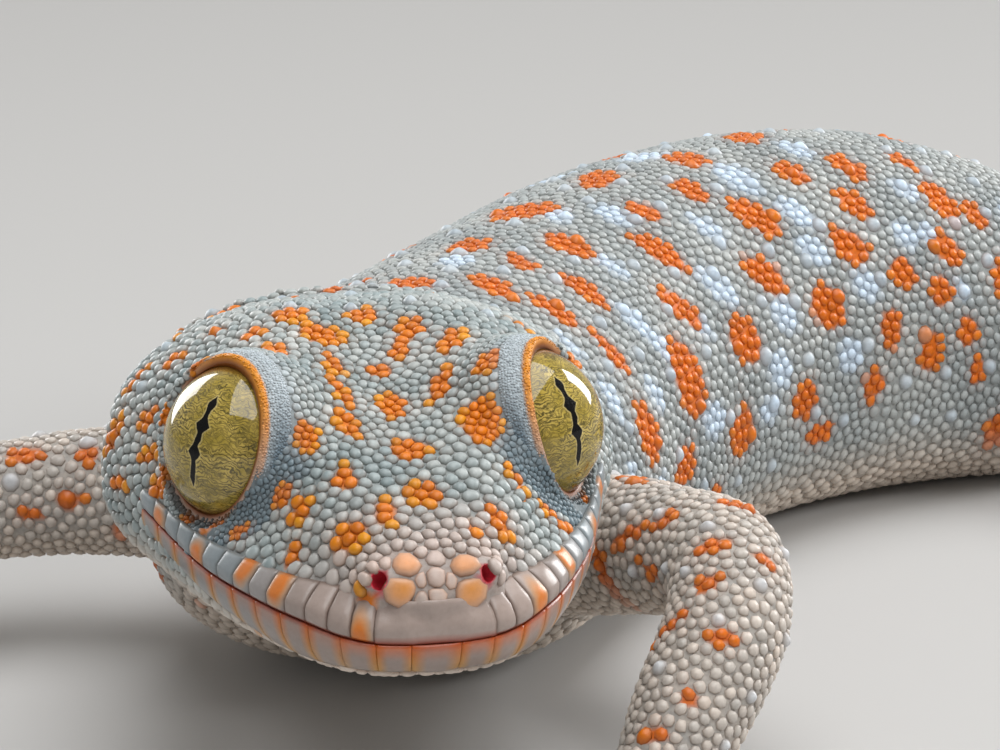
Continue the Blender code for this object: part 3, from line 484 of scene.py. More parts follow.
class Form:
    """Closed lofts gathered into one body. Those that are mapped give each face a place on the unwrap."""

    def __init__(self):
        self.points, self.faces, self.mapped = [], [], []
        self.corner_uv, self.part = [], []
        self.count = 0

    def add(self, rings, part=None, box=None):
        sides, number = len(rings[0]), len(rings)
        base = self.count
        vertices = np.concatenate(rings + [[rings[0].mean(axis=0)], [rings[-1].mean(axis=0)]])
        i, j = np.meshgrid(np.arange(number - 1), np.arange(sides), indexing="ij")
        i, j = i.ravel(), j.ravel()
        k = (j + 1) % sides
        a, b, c, d = i * sides + j, i * sides + k, (i + 1) * sides + k, (i + 1) * sides + j
        walls = np.concatenate([np.stack([a, b, c], 1), np.stack([a, c, d], 1)])
        ends = np.arange(sides)
        after = (ends + 1) % sides
        front, rear = number * sides, number * sides + 1
        caps = [np.stack([np.full(sides, front), after, ends], 1),
                np.stack([np.full(sides, rear), (number - 1) * sides + ends, (number - 1) * sides + after], 1)]
        faces = np.concatenate([walls] + caps) + base
        self.points.append(vertices)
        self.faces.append(faces)
        self.count += len(vertices)
        if box is None:
            return
        u0, u1, v0, v1 = box
        ui, un = u0 + (u1 - u0) * i / (number - 1), u0 + (u1 - u0) * (i + 1) / (number - 1)
        vj, vn = v0 + (v1 - v0) * j / sides, v0 + (v1 - v0) * (j + 1) / sides
        first = np.stack([np.stack([ui, vj], 1), np.stack([ui, vn], 1), np.stack([un, vn], 1)], 1)
        second = np.stack([np.stack([ui, vj], 1), np.stack([un, vn], 1), np.stack([un, vj], 1)], 1)
        ve, va = v0 + (v1 - v0) * ends / sides, v0 + (v1 - v0) * (ends + 1) / sides
        middle = np.full(sides, (v0 + v1) / 2)
        flat = [np.stack([np.stack([np.full(sides, u), middle], 1), np.stack([np.full(sides, u), p], 1),
                          np.stack([np.full(sides, u), q], 1)], 1)
                for u, p, q in ((u0, va, ve), (u1, ve, va))]
        self.mapped.append(faces)
        self.corner_uv += [first, second] + flat
        self.part.append(np.full(len(faces), part))

    def mapping(self):
        """What finds a point's part and place on the unwrap."""
        points = np.concatenate(self.points)
        faces = np.concatenate(self.mapped)
        tree = BVHTree.FromPolygons(points.tolist(), faces.tolist())
        return points, faces, np.concatenate(self.corner_uv), np.concatenate(self.part), tree


HEAD, BODY, ARM, FOOT = 0, 1, 2, 3
HEAD_BOX = (0.01, 0.155, 0.02, 0.60)
BODY_BOX = (0.16, 0.99, 0.02, 0.60)


def gecko_form(body):
    """Every part of the gecko as closed lofts that overlap, ready to be fused into one skin."""
    form = Form()
    stations = HEAD_FRONT + (HEAD_REAR - HEAD_FRONT) * np.linspace(0, 1, 80) ** 1.25
    rings = [head_to_world(head_ring(y, 96)) for y in stations]
    tuck = head_to_world([(0, HEAD_REAR + 3, -4)])[0]
    form.add(rings + [tuck + (rings[-1] - rings[-1].mean(axis=0)) * 0.93], HEAD, HEAD_BOX)
    form.add([body.ring(s, 96) for s in np.linspace(0, body.length, 230)], BODY, BODY_BOX)
    for side in (-1, 1):
        eye = head_to_world([eye_centre(side)])[0]
        form.add(ball_rings(eye, [SOCKET_MOUND] * 3, np.eye(3), 40, 24))
        centre, radii = NOSTRIL_SWELLING
        form.add(ball_rings(mirrored_place(centre, side), radii, np.eye(3), 24, 14))
    for index, (name, (points, radii, heading, toes)) in enumerate(LIMBS.items()):
        left = 0.01 + 0.25 * index
        form.add(limb_rings(points, radii, 36, 64), ARM, (left, left + 0.23, 0.64, 0.80))
        palm, _, _ = toe_path(name, 0)
        turned = math.radians(heading)
        axes = frame_along((math.cos(turned), math.sin(turned), 0))
        rings = [np.maximum(ring, [-1e3, -1e3, 0]) for ring in ball_rings(palm, PALM_RADII, axes, 32, 16)]
        form.add(rings, FOOT, (left, left + 0.11, 0.82, 0.86))
        for toe in range(len(toes)):
            corner = (left + 0.12 * ((toe + 1) % 2), 0.82 + 0.045 * ((toe + 1) // 2))
            form.add(toe_rings(name, toe, 20, 24), FOOT, (corner[0], corner[0] + 0.11, corner[1], corner[1] + 0.04))
    return form


def mesh_from(name, points, faces):
    """A mesh from millimetre points and an array of equal faces or a list of them."""
    mesh = bpy.data.meshes.new(name)
    faces = np.asarray(faces)
    mesh.vertices.add(len(points))
    mesh.vertices.foreach_set("co", metres(points).astype(np.float32).ravel())
    mesh.loops.add(faces.size)
    mesh.loops.foreach_set("vertex_index", faces.astype(np.int32).ravel())
    mesh.polygons.add(len(faces))
    mesh.polygons.foreach_set("loop_start", (np.arange(len(faces)) * faces.shape[1]).astype(np.int32))
    mesh.update(calc_edges=True)
    mesh.validate()
    return mesh


def object_from(name, mesh):
    made = bpy.data.objects.new(name, mesh)
    bpy.context.scene.collection.objects.link(made)
    return made


def baked(target):
    """Replaces an object's mesh by what its modifiers make of it."""
    graph = bpy.context.evaluated_depsgraph_get()
    mesh = bpy.data.meshes.new_from_object(target.evaluated_get(graph))
    target.modifiers.clear()
    target.data = mesh
    return target


def vertex_array(mesh):
    """A mesh's points in millimetres."""
    flat = np.empty(len(mesh.vertices) * 3, np.float32)
    mesh.vertices.foreach_get("co", flat)
    return flat.reshape(-1, 3).astype(float) / MM + BELLY_MIDDLE


def triangle_array(mesh):
    mesh.calc_loop_triangles()
    flat = np.empty(len(mesh.loop_triangles) * 3, np.int32)
    mesh.loop_triangles.foreach_get("vertices", flat)
    return flat.reshape(-1, 3)


def vertex_normals(points, triangles):
    a, b, c = (points[triangles[:, k]] for k in range(3))
    facing = np.cross(b - a, c - a)
    total = np.zeros_like(points)
    for k in range(3):
        for axis in range(3):
            total[:, axis] += np.bincount(triangles[:, k], facing[:, axis], len(points))
    return total / np.maximum(np.linalg.norm(total, axis=1), 1e-12)[:, None]


def relaxed(mesh, points, rounds):
    """Points moved towards the middle of their neighbours, to round off the steps of the voxels."""
    edges = np.empty(len(mesh.edges) * 2, np.int32)
    mesh.edges.foreach_get("vertices", edges)
    a, b = edges.reshape(-1, 2).T
    degree = np.bincount(a, minlength=len(points)) + np.bincount(b, minlength=len(points))
    for step in range(rounds):
        total = np.stack([np.bincount(a, points[b, k], len(points)) + np.bincount(b, points[a, k], len(points))
                          for k in range(3)], 1)
        # A step in and a smaller step back out keeps the size.
        amount = 0.6 if step % 2 == 0 else -0.55
        points = points + amount * (total / degree[:, None] - points)
    return points


def ellipsoid(name, centre, radii, axes, segments, rings):
    made = bmesh.new()
    bmesh.ops.create_uvsphere(made, u_segments=segments, v_segments=rings, radius=1.0)
    bmesh.ops.triangulate(made, faces=made.faces)
    points = np.array([v.co for v in made.verts]) * np.asarray(radii) @ np.asarray(axes) + centre
    faces = [[v.index for v in f.verts] for f in made.faces]
    made.free()
    return object_from(name, mesh_from(name, points, faces))


def cut(target, cutters):
    """Takes closed shapes out of the target, one after another, and removes them."""
    for cutter in cutters:
        modifier = target.modifiers.new("cut", "BOOLEAN")
        modifier.operation = "DIFFERENCE"
        modifier.object = cutter
        modifier.solver = "MANIFOLD"
        baked(target)
        bpy.data.objects.remove(cutter)


def refined(mesh, limit, middles, reach):
    """Splits the long edges near some places, so that cut walls have places for scales too."""
    fine = bmesh.new()
    fine.from_mesh(mesh)
    middles = [Vector(metres(middle).tolist()) for middle in middles]
    for _ in range(4):
        long_ones = [edge for edge in fine.edges if edge.calc_length() > limit
                     and min((edge.verts[0].co - middle).length for middle in middles) < reach]
        if not long_ones:
            break
        bmesh.ops.subdivide_edges(fine, edges=long_ones, cuts=1)
        bmesh.ops.triangulate(fine, faces=fine.faces)
    fine.to_mesh(mesh)
    fine.free()


def eye_window(side):
    """The wedge, from the eye's middle outward, that leaves the eye uncovered."""
    around = 2 * math.pi * np.arange(64) / 64
    rings = [lid_directions(side, 1.0, around) * 3.0]
    rings += [lid_directions(side, widen, around) * (SOCKET_MOUND + 0.4) for widen in (1.0, 0.8, 0.55, 0.3, 0.08)]
    wedge = Form()
    wedge.add([head_to_world(ring + eye_centre(side)) for ring in rings])
    made = object_from("window", mesh_from("window", np.concatenate(wedge.points), np.concatenate(wedge.faces)))
    tidy = bmesh.new()
    tidy.from_mesh(made.data)
    bmesh.ops.recalc_face_normals(tidy, faces=tidy.faces)
    tidy.to_mesh(made.data)
    tidy.free()
    return made


class Camera:
    """The photograph's view, for rays through its pixels and for the scene's camera."""

    def __init__(self):
        e = CAMERA_ELEVATION
        self.right = np.array([1.0, 0.0, 0.0])
        self.up = np.array([0.0, math.sin(e), math.cos(e)])
        self.forward = np.array([0.0, math.cos(e), -math.sin(e)])
        self.place = (HEAD_CENTRE - CAMERA_DISTANCE * self.forward + CAMERA_SHIFT[0] * self.right
                      + CAMERA_SHIFT[1] * self.up)
        self.focal = LENS / SENSOR * PHOTO_SIZE[0]

    def ray(self, x, y):
        way = (self.forward * self.focal + self.right * (x - PHOTO_SIZE[0] / 2)
               + self.up * (PHOTO_SIZE[1] / 2 - y))
        return way / np.linalg.norm(way)

    def pixels(self, points):
        away = points - self.place
        depth = away @ self.forward
        return np.stack([PHOTO_SIZE[0] / 2 + away @ self.right / depth * self.focal,
                         PHOTO_SIZE[1] / 2 - away @ self.up / depth * self.focal], 1)


class Skin:
    """The finished skin's points, faces, normals, parts and places on the unwrap, in millimetres."""

    def __init__(self, mesh, form, body):
        self.points = vertex_array(mesh)
        self.triangles = triangle_array(mesh)
        self.normals = vertex_normals(self.points, self.triangles)
        self.tree = BVHTree.FromPolygons(self.points.tolist(), self.triangles.tolist())
        self.degree = np.bincount(self.triangles.ravel(), minlength=len(self.points))
        self.form = form.mapping()
        self.body = body

    def averaged(self, values):
        """Each point's value as the mean over the faces round it."""
        faces = values[self.triangles].mean(axis=1)
        total = sum(np.bincount(self.triangles[:, k], faces, len(values)) for k in range(3))
        return total / np.maximum(self.degree, 1)

    def where(self, points):
        """Part and place on the unwrap of each point, from the nearest face of the forms."""
        source, faces, corner_uv, part, tree = self.form
        found = np.array([tree.find_nearest(p)[2] for p in points.tolist()])
        corners = source[faces[found]]
        a, b, c = corners[:, 0], corners[:, 1], corners[:, 2]
        v0, v1, v2 = b - a, c - a, points - a
        d00, d01, d11 = (v0 * v0).sum(1), (v0 * v1).sum(1), (v1 * v1).sum(1)
        d20, d21 = (v2 * v0).sum(1), (v2 * v1).sum(1)
        under = np.maximum(d00 * d11 - d01 * d01, 1e-12)
        v = np.clip((d11 * d20 - d01 * d21) / under, 0, 1)
        w = np.clip((d00 * d21 - d01 * d20) / under, 0, 1 - v)
        shares = np.stack([1 - v - w, v, w], 1)
        return part[found], (corner_uv[found] * shares[:, :, None]).sum(1)


STATE = {}


def blend(low, high, share):
    return low * (1 - share)[:, None] + high * share[:, None]


def noise(points, size, seed):
    """Smooth noise from 0 to 1 with lumps of about this size."""
    rng = np.random.default_rng(seed)
    total = np.zeros(len(points))
    for _ in range(6):
        way = rng.normal(size=3)
        way *= 2 * math.pi / (size * 2.2) / np.linalg.norm(way)
        total += np.sin(points @ way + rng.uniform(0, 2 * math.pi))
    return 0.5 + 0.5 * np.clip(total / 3.2, -1, 1)


class Spots:
    """Round or long spots on the skin, each with its middle and two half axes."""

    def __init__(self, skin, camera):
        self.skin, self.camera = skin, camera
        self.middles, self.axes, self.kinds = [], [], []

    def hit(self, x, y):
        place, facing, _, _ = self.skin.tree.ray_cast(self.camera.place.tolist(), self.camera.ray(x, y).tolist())
        return (None, None) if place is None else (np.array(place), np.array(facing))

    def add_from_photo(self, rows, kind, limit, grow=1.0):
        """Spots given in pixels, laid on the skin that the photograph's rays meet."""
        for x, y, wide, tall in rows:
            middle, facing = self.hit(x, y)
            if middle is None:
                continue
            away = np.linalg.norm(middle - self.camera.place)
            sizes = []
            for way, pixels in ((self.camera.right, wide), (self.camera.up, tall)):
                half = pixels / 2 * grow * away / self.camera.focal
                flat = way - facing * np.dot(way, facing)
                # A slanted surface shows shorter than it is.
                stretch = min(1 / max(np.linalg.norm(flat), 0.35), limit)
                sizes.append(flat / np.linalg.norm(flat) * half * stretch)
            self.middles.append(middle)
            self.axes.append(sizes)
            self.kinds.append(kind)

    def add_scattered(self, places, facings, ways, seed, kind, apart, clear, long, wide):
        """Spots drawn over places, clear of earlier ones by given distances."""
        rng = random.Random(seed)
        order = list(range(len(places)))
        rng.shuffle(order)
        for index in order:
            middle = places[index]
            if self.middles:
                away = np.linalg.norm(np.array(self.middles) - middle, axis=1)
                same = np.array(self.kinds) == kind
                if (away[same] < apart).any() or (away[~same] < clear).any():
                    continue
            facing, way = facings[index], ways[index]
            across = np.cross(facing, way)
            across /= np.linalg.norm(across)
            along = np.cross(across, facing)
            size = rng.uniform(0.8, 1.2)
            self.middles.append(middle)
            self.axes.append([across * long * size, along * wide * size])
            self.kinds.append(kind)

    def share(self, points, kind):
        """How far inside a spot of this kind each point lies: 1 in its middle, 0 at its edge or out."""
        best = np.zeros(len(points))
        if not self.middles:
            return best
        tree = KDTree(len(points))
        for i, p in enumerate(points.tolist()):
            tree.insert(p, i)
        tree.balance()
        for middle, (a, b), this in zip(self.middles, self.axes, self.kinds):
            if this != kind:
                continue
            reach = 1.3 * max(np.linalg.norm(a), np.linalg.norm(b))
            near = [found[1] for found in tree.find_range(middle.tolist(), reach)]
            if not near:
                continue
            near = np.array(near)
            q = points[near] - middle
            aa, bb, ab = a @ a, b @ b, a @ b
            under = aa * bb - ab * ab
            s, t = (bb * (q @ a) - ab * (q @ b)) / under, (aa * (q @ b) - ab * (q @ a)) / under
            best[near] = np.maximum(best[near], 1 - np.hypot(s, t))
        return np.clip(best, 0, 1)


BLUE = linear(138, 152, 154)
PALE = linear(186, 189, 186)
PINK = linear(196, 176, 166)
LIMB = linear(212, 196, 182)
ORANGE = linear(212, 114, 0)
AMBER = linear(220, 154, 10)
RUST = linear(208, 98, 12)
PEACH = linear(226, 150, 86)
PEACH_GOLD = linear(222, 140, 36)
TRUNK = linear(150, 157, 158)
SKY = linear(204, 222, 240)
CREAM = linear(210, 196, 182)
LIP_RED = linear(150, 46, 10)
LIP_GOLD = linear(214, 132, 40)
SHADE = linear(112, 114, 112)
NOSTRIL_RED = linear(206, 48, 66)
EAR_DARK = linear(74, 60, 60)
SOCKET_SHADOW = linear(52, 42, 36)


def mouth_rise(own):
    """Height of points of the head over the mouth's line."""
    return own[:, 2] - mouth_height(own[:, 1])


def tint_of(points, normals, part, place, spots, seed, groove=False):
    """The colour of each point, as one scale or one point of the skin, and how orange it is."""
    rng = np.random.default_rng(seed)
    count = len(points)
    jitter = rng.normal(size=count) * 0.5
    own = world_to_head(points)
    on_head = part == HEAD
    # The head is blue grey with pale scales among them, and pink towards the snout's tip and lips.
    mottle = np.clip(0.45 + 0.35 * jitter + 0.5 * (noise(points, 4.0, 3) - 0.5), 0, 1)
    head = blend(BLUE, PALE, mottle)
    snout = np.clip((-11.5 - own[:, 1]) / 6.5, 0, 1) * np.clip((3 - own[:, 2]) / 5, 0, 1)
    chin = np.clip(-(mouth_rise(own) + 1) / 3, 0, 1) * np.clip((-6 - own[:, 1]) / 8, 0, 1)
    pink = np.clip(np.maximum(snout, chin) * (0.85 + 0.3 * jitter), 0, 1)
    head = blend(head, PINK, pink)
    under = np.clip((-0.25 - normals[:, 2]) / 0.45, 0, 1)
    trunk = blend(TRUNK, PALE, np.clip(0.35 + 0.3 * jitter + 0.6 * (noise(points, 6.0, 5) - 0.5), 0, 1))
    tint = np.where(on_head[:, None], head, trunk)
    limb = part >= ARM
    tint = np.where(limb[:, None], blend(tint, LIMB, np.clip(0.6 + 0.2 * jitter, 0, 1)), tint)
    tint = blend(tint, CREAM, under * np.where(on_head, 0.75, 0.95))
    # Pale bands ring the tail.
    along = (place[:, 0] - BODY_BOX[0]) / (BODY_BOX[1] - BODY_BOX[0])
    tail = np.clip((along - STATE["tail_share"]) * 12, 0, 1) * (part == BODY)
    band = np.clip(np.sin((along - STATE["tail_share"]) * 2 * math.pi * 13) * 3 - 1.6, 0, 1)
    tint = blend(tint, SKY, tail * band * (1 - under))
    pale = np.clip(spots.share(points, "pale") * 3.0, 0, 1) * (1 - under)
    tint = blend(tint, SKY, pale * 0.9)
    inside = spots.share(points, "orange") * (1 + 0.06 * jitter)
    orange = np.clip(inside * (70 if not groove else 8) - 0.8, 0, 1)
    rim = np.clip(1.1 - inside * 3.6 + 0.2 * jitter, 0, 1)
    hue = blend(ORANGE, AMBER, rim * 0.7)
    hue = np.where(on_head[:, None], hue, blend(hue, RUST, np.full(count, 0.7)))
    tint = blend(tint, hue, orange * (1 - 0.6 * under))
    for side in (-1, 1):
        lid, around, distance = lid_place(own, side)
        # Scales round the lids take the lid's colour, with its painted shade on the lower side.
        near = np.clip((1.45 - lid) / 0.12, 0, 1) * (1 - lid_back(side, around)) * on_head
        tint = blend(tint, lid_tint(side, np.full(count, 1.2), around), near * (1 - orange * 0.8) * 0.7)
        # Painted shadow on the socket's wall below each eye.
        wall = np.clip((1.10 - lid) / 0.05, 0, 1) * np.clip((7.1 - distance) / 0.4, 0, 1)
        tint = blend(tint, SOCKET_SHADOW, wall * np.clip(-0.3 - np.sin(around), 0, 0.5) * 2 * on_head * 0.85)
    if groove:
        # The skin between the scales is darkened by painted shade, and red in the mouth's line and nostrils.
        tint = blend(tint, SHADE, 0.35 * (1 - orange))
        below = np.clip(-mouth_rise(own) - 0.2, 0, 1) * np.clip(4.5 + mouth_rise(own), 0, 1)
        tint = blend(tint, LIP_GOLD, below * on_head * (own[:, 1] < 4) * 0.75)
        line = np.exp(-(mouth_rise(own) / 0.55) ** 2) * on_head * (own[:, 1] < 6)
        tint = blend(tint, LIP_RED, np.clip(line * 1.3, 0, 1))
        tint = blend(tint, NOSTRIL_RED, np.clip((1.25 - hole_share(own, NOSTRIL)) * 6, 0, 1) * on_head)
        tint = blend(tint, EAR_DARK, np.clip((1.1 - hole_share(own, EAR, EAR_TILT)) * 4, 0, 1) * on_head * 0.8)
    return np.clip(tint, 0, 1), orange


def set_tint(mesh, colours):
    layer = mesh.color_attributes.new("tint", "FLOAT_COLOR", "POINT")
    full = np.ones((len(colours), 4), np.float32)
    full[:, :3] = colours
    layer.data.foreach_set("color", full.ravel())


def set_number(mesh, name, values):
    layer = mesh.attributes.new(name, "FLOAT", "POINT")
    layer.data.foreach_set("value", np.asarray(values, np.float32))


def set_vectors(mesh, name, values):
    layer = mesh.attributes.new(name, "FLOAT_VECTOR", "POINT")
    layer.data.foreach_set("vector", np.asarray(values, np.float32).ravel())


def set_uv(mesh, name, per_vertex):
    """A UV map from one place for each vertex."""
    corners = np.empty(len(mesh.loops), np.int32)
    mesh.loops.foreach_get("vertex_index", corners)
    layer = mesh.uv_layers.new(name=name)
    layer.data.foreach_set("uv", per_vertex[corners].astype(np.float32).ravel())


def get_numbers(mesh, name):
    values = np.empty(len(mesh.attributes[name].data), np.float32)
    mesh.attributes[name].data.foreach_get("value", values)
    return values


class Wire:
    """A socket of a material. Sums on it add Math nodes."""

    def __init__(self, recipe, socket):
        self.recipe, self.socket = recipe, socket

    def _sum(self, operation, first, second):
        return self.recipe.node("ShaderNodeMath", {"operation": operation}, {0: first, 1: second})

    def __add__(self, other):
        return self._sum("ADD", self, other)

    def __radd__(self, other):
        return self._sum("ADD", other, self)

    def __sub__(self, other):
        return self._sum("SUBTRACT", self, other)

    def __rsub__(self, other):
        return self._sum("SUBTRACT", other, self)

    def __mul__(self, other):
        return self._sum("MULTIPLY", self, other)

    def __rmul__(self, other):
        return self._sum("MULTIPLY", other, self)

    def __truediv__(self, other):
        return self._sum("DIVIDE", self, other)

    def __abs__(self):
        return self._sum("ABSOLUTE", self, 0.0)

    def power(self, other):
        return self._sum("POWER", self, other)

    def least(self, other):
        return self._sum("MINIMUM", self, other)

    def most(self, other):
        return self._sum("MAXIMUM", self, other)

    def held(self):
        return self.least(1.0).most(0.0)

    def step(self, low, high):
        """A smooth step from 0 at low to 1 at high."""
        return self.recipe.node("ShaderNodeMapRange", {"interpolation_type": "SMOOTHSTEP"},
                                {"Value": self, "From Min": low, "From Max": high})


class Recipe:
    """A material with a Principled BSDF, and one method for every other node."""

    def __init__(self, name, **settings):
        self.material = bpy.data.materials.new(name)
        self.material.use_nodes = True
        self.tree = self.material.node_tree
        self.shader = self.tree.nodes["Principled BSDF"]
        for key, value in settings.items():
            self.set(key.replace("_", " "), value)

    def _connect(self, socket, value):
        if isinstance(value, Wire):
            self.tree.links.new(value.socket, socket)
        elif isinstance(value, (int, float)):
            socket.default_value = value
        else:
            room = len(socket.default_value)
            socket.default_value = (tuple(value) + (1.0,))[:room]

    def set(self, name, value):
        self._connect(self.shader.inputs[name], value)

    def node(self, kind, settings=None, inputs=None, output=0):
        made = self.tree.nodes.new(kind)
        for key, value in (settings or {}).items():
            setattr(made, key, value)
        for key, value in (inputs or {}).items():
            self._connect(made.inputs[key], value)
        return Wire(self, made.outputs[output])

    def mix(self, share, low, high, blend_type="MIX"):
        """Two colours mixed by a share."""
        made = self.tree.nodes.new("ShaderNodeMix")
        made.data_type = "RGBA"
        made.blend_type = blend_type
        for index, value in ((0, share), (6, low), (7, high)):
            self._connect(made.inputs[index], value)
        return Wire(self, made.outputs[2])

    def attribute(self, name, output="Color"):
        return self.node("ShaderNodeAttribute", {"attribute_name": name}, output=output)

    def place(self):
        return self.node("ShaderNodeTexCoord", output="Object")

    def noise(self, scale, detail=2.0, place=None):
        return self.node("ShaderNodeTexNoise", {}, {"Vector": place or self.place(), "Scale": scale,
                                                    "Detail": detail})

    def bump(self, height, strength, distance):
        made = self.node("ShaderNodeBump", {}, {"Strength": strength, "Distance": distance, "Height": height})
        self.set("Normal", made)


def scale_material(name, roughness, gloss):
    """Horny scales: their own tint with painted shade at the foot, a fine grain and a soft sheen."""
    recipe = Recipe(name, Coat_Weight=gloss, Coat_Roughness=0.2, Specular_IOR_Level=0.38)
    tint = recipe.attribute("tint")
    rise = recipe.attribute("rise", "Fac")
    # Painted shade: the tint darkens towards each scale's foot, where its rise is low.
    foot = recipe.mix(1.0, tint, (0.70, 0.66, 0.63), "MULTIPLY")
    colour = recipe.mix(rise.step(0.0, 0.8), foot, tint)
    mottle = recipe.noise(2600.0, 3.0)
    colour = recipe.mix(mottle.step(0.35, 0.75) * 0.20, colour, (0.66, 0.64, 0.62), "MULTIPLY")
    recipe.set("Base Color", colour)
    recipe.set("Roughness", roughness + mottle * 0.16)
    recipe.bump(recipe.noise(7000.0, 3.0), 0.25, 0.00004)
    return recipe.material


def skin_material():
    """Bare skin between the scales: the same markings, darkened by painted shade, with fine folds."""
    recipe = Recipe("gecko skin", Coat_Weight=0.05, Coat_Roughness=0.35)
    tint = recipe.attribute("tint")
    grain = recipe.noise(3500.0, 4.0)
    recipe.set("Base Color", recipe.mix(grain.step(0.3, 0.75) * 0.4, tint, (0.55, 0.52, 0.52), "MULTIPLY"))
    recipe.set("Roughness", 0.5 + grain * 0.2)
    recipe.bump(grain, 0.3, 0.00008)
    return recipe.material


def horn_material():
    """Claws: dark horn streaked with paler horn."""
    recipe = Recipe("claw horn", Coat_Weight=0.4, Coat_Roughness=0.15, Roughness=0.35)
    streak = recipe.noise(1400.0, 3.0)
    recipe.set("Base Color", recipe.mix(streak.step(0.3, 0.7), linear(92, 78, 66), linear(150, 134, 116)))
    recipe.bump(streak, 0.2, 0.00005)
    return recipe.material


def finish(piece, material, replaces=()):
    """Gives a finished piece its material, body, slot and the nodes that it stands for."""
    piece.data.materials.clear()
    piece.data.materials.append(material)
    piece.data.shade_smooth()
    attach(piece, "root")
    if replaces:
        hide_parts(*replaces)
    return piece


def neighbours(points, normals, count):
    """For each point its nearest others: their numbers, and whether they lie on the same side."""
    tree = KDTree(len(points))
    for i, p in enumerate(points.tolist()):
        tree.insert(p, i)
    tree.balance()
    found = np.array([[hit[1] for hit in tree.find_n(p, count + 1)] for p in points.tolist()])[:, 1:]
    alike = np.einsum("ijk,ik->ij", normals[found], normals) > 0.15
    return found, alike


def thinned(points, sizes, share, held=0):
    """Numbers of the points that stay when each keeps later ones away by a share of their spacing."""
    cell = 2 * share * sizes.max()
    grid, keep = {}, []
    offsets = [(i, j, k) for i in (-1, 0, 1) for j in (-1, 0, 1) for k in (-1, 0, 1)]
    rows = zip(points.tolist(), sizes.tolist(), np.floor(points / cell).astype(int).tolist())
    for index, ((px, py, pz), reach, (ci, cj, ck)) in enumerate(rows):
        free = True
        for i, j, k in offsets:
            for qx, qy, qz, other in grid.get((ci + i, cj + j, ck + k), ()):
                apart = share * (reach + other)
                if (px - qx) ** 2 + (py - qy) ** 2 + (pz - qz) ** 2 < apart * apart:
                    free = False
                    break
            if not free:
                break
        if free or index < held:
            grid.setdefault((ci, cj, ck), []).append((px, py, pz, reach))
            keep.append(index)
    return keep


def drawn_over(skin, spacing, allowed, rng, density):
    """Random places on the skin, closer where the spacing is small, and the spacing at each."""
    a, b, c = (skin.points[skin.triangles[:, k]] for k in range(3))
    area = np.linalg.norm(np.cross(b - a, c - a), axis=1) / 2
    size = spacing[skin.triangles].mean(axis=1)
    weight = np.where(allowed[skin.triangles].all(axis=1), area / (0.866 * size ** 2), 0.0)
    total = int(weight.sum() * density)
    pick = rng.choice(len(weight), total, p=weight / weight.sum())
    s, t = rng.random(total), rng.random(total)
    flip = s + t > 1
    s, t = np.where(flip, 1 - s, s), np.where(flip, 1 - t, t)
    return a[pick] + (b - a)[pick] * s[:, None] + (c - a)[pick] * t[:, None], size[pick]


def on_skin(skin, points):
    """The nearest places on the skin, with its smooth normals there."""
    found = [skin.tree.find_nearest(p) for p in points.tolist()]
    places = np.array([hit[0] for hit in found])
    corner = skin.triangles[[hit[2] for hit in found]]
    normals = skin.normals[corner].mean(axis=1)
    return places, normals / np.linalg.norm(normals, axis=1)[:, None]


def scatter(skin, spacing, allowed, seed, fixed, fixed_spacing):
    """Places for scales: spaced by their own size over the skin, then nudged evenly apart."""
    rng = np.random.default_rng(seed)
    points, sizes = drawn_over(skin, spacing, allowed, rng, 8.0)
    points, sizes = np.concatenate([fixed, points]), np.concatenate([fixed_spacing, sizes])
    held = len(fixed)
    keep = thinned(points, sizes, 0.405, held)
    points, sizes = points[keep], sizes[keep]
    for _ in range(7):
        points, normals = on_skin(skin, points)
        found, alike = neighbours(points, normals, 8)
        away = points[:, None] - points[found]
        gap = np.linalg.norm(away, axis=2) + 1e-9
        wish = 0.53 * (sizes[:, None] + sizes[found])
        push = np.where(alike, np.clip(wish - gap, 0, None), 0)
        step = (away / gap[:, :, None] * push[:, :, None]).sum(axis=1) * 0.28
        step -= normals * np.einsum("ij,ij->i", step, normals)[:, None]
        step[:held] = 0
        points = points + step
    points, normals = on_skin(skin, points)
    return points, normals, sizes


def fitted_outlines(points, normals, sizes, sides, groove):
    """For each scale its own two flat axes and how far it reaches each way before its neighbours."""
    found, alike = neighbours(points, normals, 12)
    guide = np.where(np.abs(normals[:, 2:3]) < 0.9, [[0.0, 0.0, 1.0]], [[1.0, 0.0, 0.0]])
    first = np.cross(guide, normals)
    first /= np.linalg.norm(first, axis=1)[:, None]
    second = np.cross(normals, first)
    away = points[found] - points[:, None]
    x = np.einsum("ijk,ik->ij", away, first)
    y = np.einsum("ijk,ik->ij", away, second)
    gap = np.hypot(x, y) + 1e-9
    edge = gap * sizes[:, None] / (sizes[:, None] + sizes[found])
    turn = np.arctan2(y, x)
    angles = 2 * math.pi * np.arange(sides) / sides
    reach = np.full((len(points), sides), 9.0)
    for k in range(found.shape[1]):
        facing = np.cos(angles[None] - turn[:, k, None])
        limit = edge[:, k, None] / np.maximum(facing, 0.28)
        limit = np.where((facing > 0.05) & alike[:, k, None], limit, 9.0)
        reach = np.minimum(reach, limit)
    reach = np.minimum(reach, 0.86 * sizes[:, None])
    # Corners are rounded a little, as on real granules.
    rounded = 0.5 * reach + 0.25 * (np.roll(reach, 1, axis=1) + np.roll(reach, -1, axis=1))
    return first, second, angles, np.minimum(rounded, reach * 1.02) * (1 - groove)


